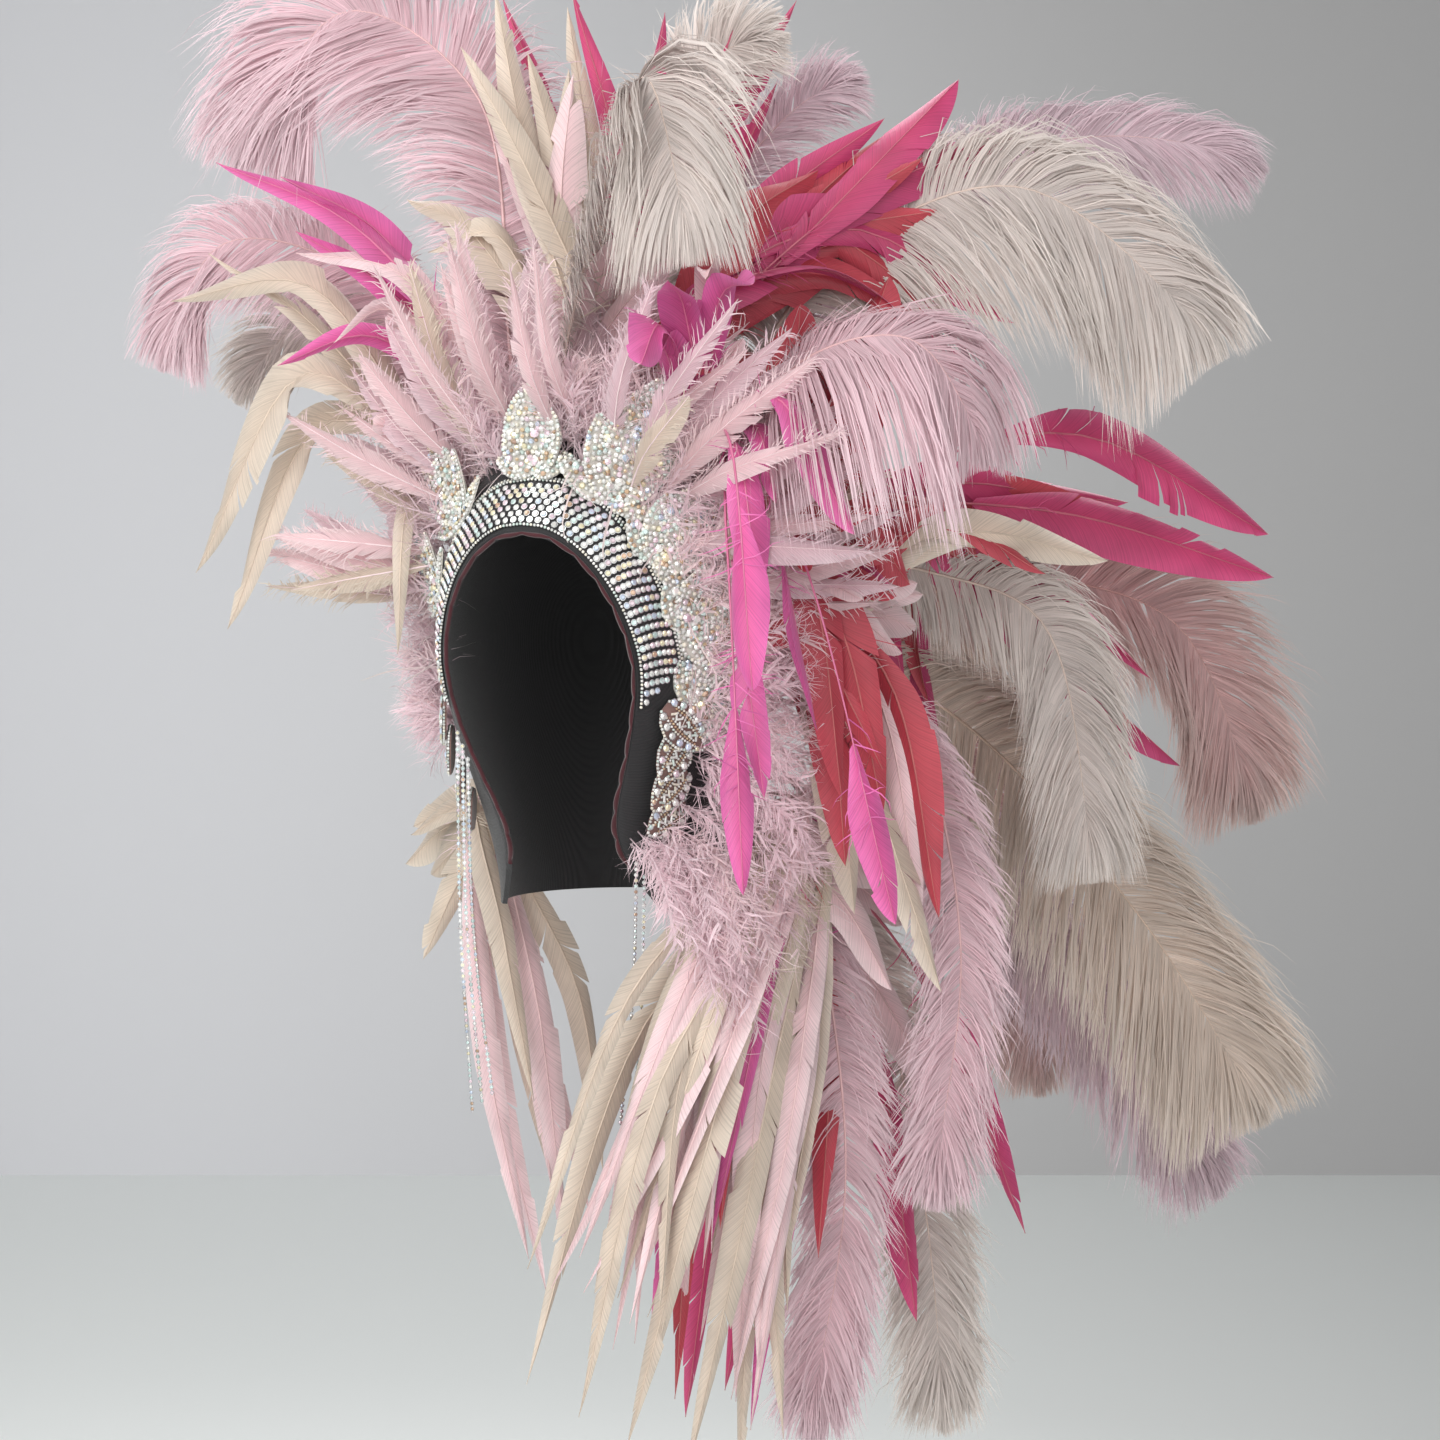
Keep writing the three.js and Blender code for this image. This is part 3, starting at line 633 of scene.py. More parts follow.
class SharedEffects:
    """Node groups that several materials use, each built once."""

    made: ClassVar[dict[str, bpy.types.NodeTree]] = {}

    @classmethod
    def take(cls, name: str, inputs: dict, outputs: dict, fill: Callable) -> bpy.types.NodeTree:
        """Give a group by name, and build it the first time.

        Args:
            name: Name of the group.
            inputs: Default values of its number inputs by name.
            outputs: Socket types of its outputs by name.
            fill: What lays out its nodes.

        Returns:
            The group's node tree.
        """
        if name not in cls.made:
            tree = bpy.data.node_groups.new(name, "ShaderNodeTree")
            for label, value in inputs.items():
                socket = tree.interface.new_socket(name=label, in_out="INPUT", socket_type="NodeSocketFloat")
                socket.default_value = value
            for label, kind in outputs.items():
                tree.interface.new_socket(name=label, in_out="OUTPUT", socket_type=kind)
            nodes = Nodes(tree)
            fill(nodes, nodes.add("NodeGroupInput"), nodes.add("NodeGroupOutput"))
            cls.made[name] = tree
        return cls.made[name]

    @classmethod
    def mottle(cls) -> bpy.types.NodeTree:
        """Uneven dye: a brightness that drifts over the surface, and a fine fibre height."""
        def fill(nodes: Nodes, ins: bpy.types.Node, outs: bpy.types.Node) -> None:
            """Lay out the drift and the fibre."""
            place = nodes.add("ShaderNodeTexCoord")
            drift = nodes.add("ShaderNodeTexNoise")
            fibre = nodes.add("ShaderNodeTexNoise")
            for node, label in ((drift, "Scale"), (fibre, "Fibre")):
                nodes.link(place.outputs["Object"], node.inputs["Vector"])
                nodes.link(ins.outputs[label], node.inputs["Scale"])
            spread = nodes.remap(drift.outputs["Fac"], 0.3, 0.7)
            nodes.link(ins.outputs["Low"], spread.inputs["To Min"])
            nodes.link(ins.outputs["High"], spread.inputs["To Max"])
            nodes.link(spread.outputs["Result"], outs.inputs["Value"])
            nodes.link(fibre.outputs["Fac"], outs.inputs["Height"])
        return cls.take("uneven_dye", {"Scale": 30.0, "Fibre": 1500.0, "Low": 0.85, "High": 1.1},
                        {"Value": "NodeSocketFloat", "Height": "NodeSocketFloat"}, fill)

    @classmethod
    def barb_lines(cls) -> bpy.types.NodeTree:
        """Fine lines between barbs: a brightness, partly the barbs' own grain and partly painted shade in the
        gaps between them, and a height, both following the strand value.
        """
        def fill(nodes: Nodes, ins: bpy.types.Node, outs: bpy.types.Node) -> None:
            """Lay out one noise along the strand value."""
            scaled = nodes.add("ShaderNodeMath", operation="MULTIPLY")
            nodes.link(ins.outputs["Strand"], scaled.inputs[0])
            nodes.link(ins.outputs["Scale"], scaled.inputs[1])
            noise = nodes.add("ShaderNodeTexNoise", noise_dimensions="1D")
            noise.inputs["Scale"].default_value = 1.0
            nodes.link(scaled.outputs[0], noise.inputs["W"])
            spread = nodes.remap(noise.outputs["Fac"], 0.3, 0.6)
            nodes.link(ins.outputs["Low"], spread.inputs["To Min"])
            spread.inputs["To Max"].default_value = 1.04
            nodes.link(spread.outputs["Result"], outs.inputs["Value"])
            nodes.link(noise.outputs["Fac"], outs.inputs["Height"])
        return cls.take("barb_lines", {"Strand": 0.0, "Scale": 1.0, "Low": 0.8},
                        {"Value": "NodeSocketFloat", "Height": "NodeSocketFloat"}, fill)

    @classmethod
    def weave(cls) -> bpy.types.NodeTree:
        """Crossing threads: a height that is low in the holes between them."""
        def fill(nodes: Nodes, ins: bpy.types.Node, outs: bpy.types.Node) -> None:
            """Lay out two sets of threads."""
            place = nodes.add("ShaderNodeTexCoord")
            made = []
            for turn in (0.785, -0.785):
                mapping = nodes.add("ShaderNodeMapping")
                mapping.inputs["Rotation"].default_value = (0, 0, turn)
                nodes.link(place.outputs["Object"], mapping.inputs["Vector"])
                for axis in ("X", "Z"):
                    wave = nodes.add("ShaderNodeTexWave", wave_type="BANDS", bands_direction=axis)
                    nodes.link(mapping.outputs["Vector"], wave.inputs["Vector"])
                    nodes.link(ins.outputs["Scale"], wave.inputs["Scale"])
                    wave.inputs["Distortion"].default_value = 0.3
                    made.append(wave.outputs["Fac"])
            total = made[0]
            for part in made[1:]:
                adding = nodes.add("ShaderNodeMath", operation="MAXIMUM")
                nodes.link(total, adding.inputs[0])
                nodes.link(part, adding.inputs[1])
                total = adding.outputs[0]
            nodes.link(total, outs.inputs["Height"])
        return cls.take("crossed_threads", {"Scale": 200.0}, {"Height": "NodeSocketFloat"}, fill)


@dataclass(frozen=True)
class Finish:
    """A finish whose colour comes from each part's dye.

    Attributes:
        name: Name of the material.
        roughness: Roughness of the surface.
        metallic: 0 for cloth and feather, up to 1 for metal and foil.
        sheen: Soft edge light of fibres.
        glow: Share of the light that passes through.
        coat: Clear coat on top.
        drift: Scale of the slow change in shade.
        spread: Darkest and lightest shade.
        fibre: Scale of the fine grain.
        relief: Depth of the fine grain.
        weave: Scale of crossing threads, or 0 for none.
        lines: Lines between barbs in a millimetre, or 0 for none.
        groove: Brightness of the darkest lines, painted shade in the gaps between barbs.
    """

    name: str
    roughness: float = 0.55
    metallic: float = 0.0
    sheen: float = 0.0
    glow: float = 0.0
    coat: float = 0.0
    drift: float = 28.0
    spread: tuple[float, float] = (0.86, 1.1)
    fibre: float = 1400.0
    relief: float = 0.15
    weave: float = 0.0
    lines: float = 0.0
    groove: float = 0.8

    def build(self) -> bpy.types.Material:
        """Make the material.

        Returns:
            The material, made once and then shared.
        """
        if self.name in bpy.data.materials:
            return bpy.data.materials[self.name]
        material = bpy.data.materials.new(self.name)
        material.use_nodes = True
        nodes = Nodes(material.node_tree)
        shader = material.node_tree.nodes["Principled BSDF"]
        for label, value in (("Roughness", self.roughness), ("Metallic", self.metallic),
                             ("Sheen Weight", self.sheen), ("Coat Weight", self.coat)):
            shader.inputs[label].default_value = value
        dye = nodes.add("ShaderNodeAttribute", attribute_name="dye")
        uneven = nodes.add("ShaderNodeGroup", node_tree=SharedEffects.mottle())
        for label, value in (("Scale", self.drift), ("Fibre", self.fibre),
                             ("Low", self.spread[0]), ("High", self.spread[1])):
            uneven.inputs[label].default_value = value
        colour = nodes.mix("MULTIPLY", 1.0, dye.outputs["Color"], nodes.grey(uneven.outputs["Value"]))
        height = uneven.outputs["Height"]
        if self.weave:
            threads = nodes.add("ShaderNodeGroup", node_tree=SharedEffects.weave())
            threads.inputs["Scale"].default_value = self.weave
            height = threads.outputs["Height"]
            colour = nodes.mix("MIX", height, (0.002, 0.002, 0.0025), colour)
        if self.lines:
            colour, height = self.line(nodes, colour)
        nodes.link(colour, shader.inputs["Base Color"])
        bump = nodes.add("ShaderNodeBump")
        bump.inputs["Strength"].default_value = self.relief
        bump.inputs["Distance"].default_value = 0.0003
        nodes.link(height, bump.inputs["Height"])
        nodes.link(bump.outputs["Normal"], shader.inputs["Normal"])
        if self.glow:
            through = nodes.add("ShaderNodeBsdfTranslucent")
            nodes.link(colour, through.inputs["Color"])
            mixed = nodes.add("ShaderNodeMixShader")
            mixed.inputs[0].default_value = self.glow
            nodes.link(shader.outputs[0], mixed.inputs[1])
            nodes.link(through.outputs[0], mixed.inputs[2])
            nodes.link(mixed.outputs[0], material.node_tree.nodes["Material Output"].inputs["Surface"])
        return material

    def line(self, nodes: Nodes, colour: bpy.types.NodeSocket) -> tuple[bpy.types.NodeSocket,
                                                                        bpy.types.NodeSocket]:
        """Darken the lines between barbs, as painted shade in the gaps between them.

        Args:
            nodes: The material's nodes.
            colour: The colour so far.

        Returns:
            The lined colour and the height of the barbs.
        """
        strand = nodes.add("ShaderNodeAttribute", attribute_name="strand")
        barbs = nodes.add("ShaderNodeGroup", node_tree=SharedEffects.barb_lines())
        barbs.inputs["Scale"].default_value = self.lines
        # The darkest lines are painted shade in the gaps between barbs.
        barbs.inputs["Low"].default_value = self.groove
        nodes.link(strand.outputs["Fac"], barbs.inputs["Strand"])
        return nodes.mix("MULTIPLY", 1.0, colour, nodes.grey(barbs.outputs["Value"])), barbs.outputs["Height"]


OSTRICH = Finish("ostrich_barbs", roughness=0.6, sheen=0.3, glow=0.3, drift=22, spread=(0.92, 1.06),
                 relief=0.35,
                 lines=1.7, groove=0.74)
GOOSE = Finish("cut_feather_vane", roughness=0.4, sheen=0.15, glow=0.2, drift=34, spread=(0.86, 1.1),
               relief=0.4,
               lines=0.9, groove=0.82)
DOWNY = Finish("marabou_down", roughness=0.75, sheen=0.4, glow=0.35, drift=18, spread=(0.94, 1.05),
               relief=0.3,
               lines=1.6, groove=0.8)
HORN = Finish("feather_quill", roughness=0.34, drift=60, spread=(0.85, 1.1), relief=0.05)
NET = Finish("black_net_knit", roughness=0.62, sheen=0.25, drift=20, spread=(0.7, 1.3), weave=520, relief=0.6)
FELT = Finish("stitched_felt", roughness=0.9, sheen=0.3, drift=90, spread=(0.8, 1.15), fibre=2600, relief=0.5)
MESH = Finish("dark_band_mesh", roughness=0.45, metallic=0.3, drift=50, spread=(0.7, 1.2), weave=900,
              relief=0.5)
STONE = Finish("cut_crystal", roughness=0.08, metallic=0.3, coat=1.0, drift=160, spread=(0.8, 1.15),
               relief=0.0)
PEARL = Finish("seed_bead_lustre", roughness=0.2, metallic=0.1, coat=0.5, drift=200, spread=(0.85, 1.1),
               relief=0.02)
CUP = Finish("plated_cup", roughness=0.24, metallic=0.8, drift=120, spread=(0.8, 1.1), relief=0.04)
SEWN = (FELT, STONE, CUP, PEARL)


def triangles(piece: bpy.types.Object) -> int:
    """Count the triangles of a piece."""
    return sum(len(face.vertices) - 2 for face in piece.data.polygons)


def dress(piece: bpy.types.Object, node: str) -> None:
    """Set a finished piece in the place of its plain solid.

    Args:
        piece: The finished piece.
        node: The solid that it replaces.
    """
    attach(piece, "root")
    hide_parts(node)
    LOG.info("%s: %d triangles", piece.name, triangles(piece))


@dataclass
class Plume:
    """One ostrich plume.

    Attributes:
        name: Name of the solid that it replaces.
        tint: Its dye.
        seat: Bearing and height of its root on the hood.
        knots: Knee, crest and tip of the quill as right, near and up.
        width: Width over the barbs.
        face: Which way the outer side looks.
        sag: How strongly its barbs hang.
        shag: How shaggy it is, from 0 to 1.
        hang: What the barbs of a side that looks down are longer by, as a share.
        END: Share of the quill at which the last barbs leave.
        ANGLE: Degrees from barb to quill, and what it loses along the quill and at its end.
        NARROW: Least sine of the angle that a barb's length is worked out from.
        SHADE: How the quill's horn darkens the dye.
        FACES: What each word for the outer side means, as right, near and up.
        LAYERS: Growth, pitch and share of the full length, of the lower barbs and of the upper ones.
    """

    name: str
    tint: Tint
    seat: tuple[float, float]
    knots: tuple
    width: float
    face: str = "near"
    sag: float = 0.62
    shag: float = 0.0
    hang: float = 0.0
    END: ClassVar[float] = 0.92
    FACES: ClassVar[dict] = {"near": (0, 1, 0.35), "high": (0.1, 0.75, 0.7), "far": (0.2, -0.6, 0.75)}
    ANGLE: ClassVar[tuple] = (64, 28, 34)
    NARROW: ClassVar[float] = 0.62
    SHADE: ClassVar[tuple] = (0.86, 0.78, 0.72)
    LAYERS: ClassVar[tuple] = (
        (Growth(segments=5, width=2.7, taper=0.3, wander=0.1, clump=4, cling=0.05, stray=0.03), 1.4, 0.86),
        (Growth(segments=5, width=0.66, wander=0.2, clump=7, cling=0.06, stray=0.05), 0.6, 1.0),
    )

    def reach(self, run: np.ndarray) -> np.ndarray:
        """Give half the width of the plume at shares of its length."""
        swell = 0.35 + 0.65 * smooth(run, 0.08, 0.42)
        rounded = np.sqrt(np.maximum(0, 1 - np.maximum(0, (run - 0.74) / 0.27) ** 2))
        return self.width / 2 * swell * np.maximum(0.2, rounded)

    def build(self, seed: int) -> bpy.types.Object:
        """Model the quill and its barbs.

        Args:
            seed: Seed for this plume's chance.

        Returns:
            The dressed piece.
        """
        heap = Heap(seed)
        root, stalk = HOOD.point(*self.seat, 0.4), HOOD.point(*self.seat, 22)
        face = unit(quarter(*self.FACES[self.face]))
        quill = Quill([root, stalk, *(quarter(*knot) for knot in self.knots)], face)
        runs = np.linspace(0, self.END, 34)
        centre = quill.read(runs)[0]
        tube(heap, centre, 1.2 * (1 - runs) ** 1.1 + 0.14, self.tint.root * self.SHADE, slot=1)
        for side in (-1, 1):
            for layer in self.LAYERS:
                self.add_side(heap, quill, side, *layer)
        return heap.build(self.name, "barbs", "plume_" + self.tint.name.lower(), (OSTRICH, HORN))

    def add_side(self, heap: Heap, quill: Quill, side: int, growth: Growth,
                 pitch: float, share: float) -> None:
        """Grow the barbs of one side of the vane.

        Args:
            heap: Where they go.
            quill: The quill that carries them.
            side: 1 or -1.
            growth: How they grow.
            pitch: From one to the next.
            share: Share of the full length that they have.
        """
        rng = heap.rng
        count = int(quill.length * 0.9 / pitch)
        even, last = rng.uniform(0.1, self.END, count), rng.uniform(0.85, self.END, count // 9)
        run = np.sort(np.concatenate([even, last]))
        count = len(run)
        centre, along, across, out = quill.read(run)
        wide, closing, at_end = self.ANGLE
        angle = wide - closing * smooth(run, 0.3, 1.0) - at_end * smooth(run, 0.84, self.END)
        angle = np.radians(angle + rng.normal(0, 2.5, count))[:, None]
        loose = (rng.uniform(0, 1, count) < 0.14 + 0.3 * self.shag)[:, None] & (share == 1)
        depth = np.where(loose, rng.normal(0.15, 0.36, (count, 1)), rng.normal(0.16, 0.06, (count, 1)))
        heading = unit(side * across * np.sin(angle) + along * np.cos(angle) + out * depth)
        bend = -out * 0.55 + along * rng.uniform(0.0, 0.3, (count, 1)) - side * across * 0.05
        ragged = rng.uniform(0.92, 1.06, count) * np.where(loose[:, 0], rng.uniform(0.5, 1.1, count), 1)
        lengths = self.reach(run) / np.maximum(np.sin(angle[:, 0]), self.NARROW) * 1.2 * ragged * share
        lengths *= 1 + self.hang * np.clip(side * across @ DOWN, 0, 1)
        ahead = (quill.length * (1 - run) + 3) / (np.cos(angle[:, 0]) + 0.12)
        # The lower, broader barbs are painted 5% darker, as painted shade beneath the finer upper barbs.
        tone = rng.normal(1, 0.04, (count, 1)) * (0.95 if share < 1 else 1)
        growth = replace(growth, sag=self.sag, wander=growth.wander * (1 + self.shag),
                         cling=growth.cling * (1 + 1.4 * self.shag), stray=growth.stray * (1 + self.shag))
        growth.grow(heap, centre, heading, out, np.minimum(lengths, ahead), bend,
                    self.tint.root * tone, self.tint.tip * tone)


PLUMES = (
    Plume("plume_crown_1", Tint.BLUSH, (-38, -9), ((-62, 12, 150), (-125, 16, 190), (-184, 12, 112)), 96,
          sag=1.0, hang=0.5),
    Plume("plume_crown_2", Tint.IVORY, (8, -14), ((0, 52, 90), (22, 82, 146), (46, 112, 56)), 100, sag=2.4),
    Plume("plume_crown_3", Tint.IVORY, (100, -5), ((20, -34, 110), (56, -26, 176), (92, -10, 186)), 54,
          shag=0.8),
    Plume("plume_crown_4", Tint.MAUVE, (130, -8), ((62, -56, 112), (98, -66, 158), (134, -70, 178)), 46,
          shag=0.8),
    Plume("plume_right_1", Tint.BLUSH, (-75, -26), ((-130, -34, 70), (-196, -40, 84), (-232, -46, 20)), 62,
          sag=0.9, hang=0.4),
    Plume("plume_right_2", Tint.IVORY, (-100, -30), ((-104, -84, 44), (-164, -92, 48), (-202, -96, 8)), 60),
    Plume("plume_left_1", Tint.IVORY, (95, -22), ((112, 0, 70), (204, 8, 106), (312, 10, 24)), 112, sag=1.7,
          hang=0.35),
    Plume("plume_left_2", Tint.MAUVE, (120, -20), ((176, -62, 122), (256, -74, 144), (350, -82, 134)), 62,
          sag=0.9),
    Plume("plume_left_3", Tint.BLUSH, (86, -42), ((96, 84, 14), (146, 104, 22), (184, 112, -36)), 132, "high",
          3.4, hang=0.55),
    Plume("plume_left_4", Tint.IVORY, (104, -82), ((168, -40, -84), (222, -40, -108), (252, -40, -244)), 78,
          sag=1.7),
    Plume("plume_left_5", Tint.DUSTY, (140, -84), ((236, -170, -84), (316, -186, -112), (368, -196, -226)),
          104),
    Plume("plume_left_6", Tint.CREAM, (128, -116), ((196, -106, -170), (286, -118, -270), (360, -124, -386)),
          120, sag=1.1, hang=0.2),
    Plume("plume_left_7", Tint.MAUVE, (142, -150), ((176, -170, -220), (270, -186, -330), (352, -196, -440)),
          84, sag=0.9, shag=0.7),
    Plume("plume_left_8", Tint.BLUSH, (96, -128), ((148, 18, -158), (176, 22, -262), (162, 18, -402)), 60,
          sag=1.3, shag=1.0),
    Plume("plume_left_9", Tint.DUSTY, (152, -124), ((190, -236, -170), (232, -256, -280), (250, -260, -396)),
          76),
    Plume("plume_left_10", Tint.IVORY, (130, -198), ((140, -52, -300), (164, -52, -410), (176, -50, -536)),
          64, sag=0.9, shag=0.8),
    Plume("plume_left_11", Tint.BLUSH, (108, -188), ((112, 8, -290), (120, 14, -390), (100, 18, -520)), 60,
          sag=1.2, shag=1.0),
    Plume("plume_back_1", Tint.BLUSH, (-150, -24), ((6, -136, 60), (14, -236, 76), (2, -320, 6)), 104, "far"),
    Plume("plume_back_2", Tint.IVORY, (-140, -66), ((6, -156, -60), (16, -256, -80), (30, -330, -180)), 110,
          "far"),
    Plume("plume_back_3", Tint.DUSTY, (-156, -172), ((52, -136, -214), (82, -206, -290), (104, -244, -404)),
          84, "far"),
    Plume("plume_back_4", Tint.CREAM, (176, -84), ((112, -196, -46), (172, -286, -70), (214, -350, -170)), 92,
          "far"),
)


@dataclass(frozen=True)
class Vane:
    """The two webs of a cut feather, each a sheet of barbs that is slit here and there.

    Attributes:
        row: From one row of points to the next along the quill.
        slant: Angle of the barbs to the quill.
        slits: Slits in 100 mm of one web.
        narrow: Share of the length over which it narrows to its tip.
        fringe: Loose barbs along the edges in 100 mm.
        ROWS: Fewest and most rows of points in one web.
        ACROSS: Places of the points from the quill to the edge.
        LOOSE: How the loose barbs grow.
    """

    row: float = 5.0
    slant: float = 36
    slits: float = 2.0
    narrow: float = 0.62
    fringe: float = 0
    ROWS: ClassVar[tuple[int, int]] = (8, 34)
    ACROSS: ClassVar[tuple] = (0, 0.45, 0.8, 1.0)
    LOOSE: ClassVar[Growth] = Growth(segments=3, width=0.55, sag=0.3, wander=0.4, clump=3, cling=0.2,
                                     stray=0.15)

    def half(self, share: np.ndarray, width: float) -> np.ndarray:
        """Give half the width at shares of the vane's length."""
        point = 1 - np.clip((share - 1 + self.narrow) / self.narrow, 0, 1) ** 1.6
        return width / 2 * (0.2 + 0.8 * smooth(share, -0.05, 0.28)) * point

    def add(self, heap: Heap, quill: Quill, start: float, width: float,
            tint: Tint, tone: float) -> None:
        """Add both webs.

        Args:
            heap: Where they go.
            quill: The quill that carries them.
            start: Share of the quill at which they begin.
            width: Width over both.
            tint: Their dye.
            tone: Brightness of this feather.
        """
        rng = heap.rng
        long = quill.length * (1 - start)
        share = np.linspace(0, 1, int(np.clip(round(long / self.row), *self.ROWS)) + 1)
        wave = rng.uniform(0, 6.28)
        for side in (-1, 1):
            cuts = np.sort(rng.uniform(0.1, 0.94, rng.poisson(self.slits * long / 100)))
            for low, high in zip([0, *cuts], [*cuts, 1]):
                inner = share[(share > low + 0.012) & (share < high - 0.012)]
                spots = np.concatenate([[low], inner, [high]])
                self.add_web(heap, quill, start, spots, side, width, tint, tone * rng.normal(1, 0.02),
                             rng.normal(0, 0.09), wave)
        count = int(self.fringe * long / 100)
        if count:
            self.add_fringe(heap, quill, start, rng.uniform(0, 0.97, count), width, tint, tone)

    def add_web(self, heap: Heap, quill: Quill, start: float, spots: np.ndarray, side: int, width: float,
                tint: Tint, tone: float, lean: float, wave: float) -> None:
        """Add the part of one web between two slits.

        Args:
            heap: Where it goes.
            quill: The quill that carries it.
            start: Share of the quill at which the vane begins.
            spots: Shares of the vane's length of its rows of points.
            side: 1 or -1.
            width: Width of the vane.
            tint: Its dye.
            tone: Its brightness.
            lean: How far its outer part leans along the quill, in radians.
            wave: Where the ripple begins.
        """
        centre, along, across, out = (held[:, None] for held in quill.read(start + (1 - start) * spots))
        u = np.array(self.ACROSS)[None, :, None]
        angle = np.radians(self.slant - 14 * smooth(spots, 0.4, 1))[:, None, None] + lean * u
        long = (self.half(spots, width) * (1.08 if side > 0 else 0.92))[:, None, None]
        long = long / np.maximum(np.sin(angle[:, :1]), 0.3)
        ripple = np.sin(spots * 7 + wave)[:, None, None] * 0.1 + 0.04
        points = centre + (side * across * np.sin(angle) + along * np.cos(angle) + out
                           * (ripple - 0.3 * u)) * long * u
        rows, columns = len(spots), len(self.ACROSS)
        quads = grid(rows, columns, False)
        share = u[..., 0] ** 1.2
        colour = (tint.root * (1 - share)[..., None] + tint.tip * share[..., None]) * tone
        strand = np.broadcast_to((spots * quill.length * (1 - start))[:, None] + lean * 900, (rows, columns))
        heap.add(points, quads if side > 0 else quads[..., ::-1],
                 np.clip(np.broadcast_to(colour, (rows, columns, 3)).reshape(-1, 3), 0, 1), 0, strand.ravel())

    def add_fringe(self, heap: Heap, quill: Quill, start: float, spots: np.ndarray,
                   width: float, tint: Tint, tone: float) -> None:
        """Add loose barbs along the edges.

        Args:
            heap: Where they go.
            quill: The quill that carries the vane.
            start: Share of the quill at which the vane begins.
            spots: Shares of the vane's length at which they leave.
            width: Width of the vane.
            tint: Their dye.
            tone: Their brightness.
        """
        rng = heap.rng
        count = len(spots)
        centre, along, across, out = quill.read(start + (1 - start) * spots)
        side = rng.choice([-1, 1], (count, 1))
        heading = unit(side * across * 0.6 + along * 0.75 + rng.normal(0, 0.14, (count, 3)))
        roots = centre + heading * (self.half(spots, width) * 1.2)[:, None] + out * 0.3
        lengths, dye = rng.uniform(0.35, 1.0, count) * (6 + width * 0.4), np.tile(tint.tip * tone, (count, 1))
        self.LOOSE.grow(heap, roots, heading, out, lengths, np.zeros((count, 3)), dye, dye)


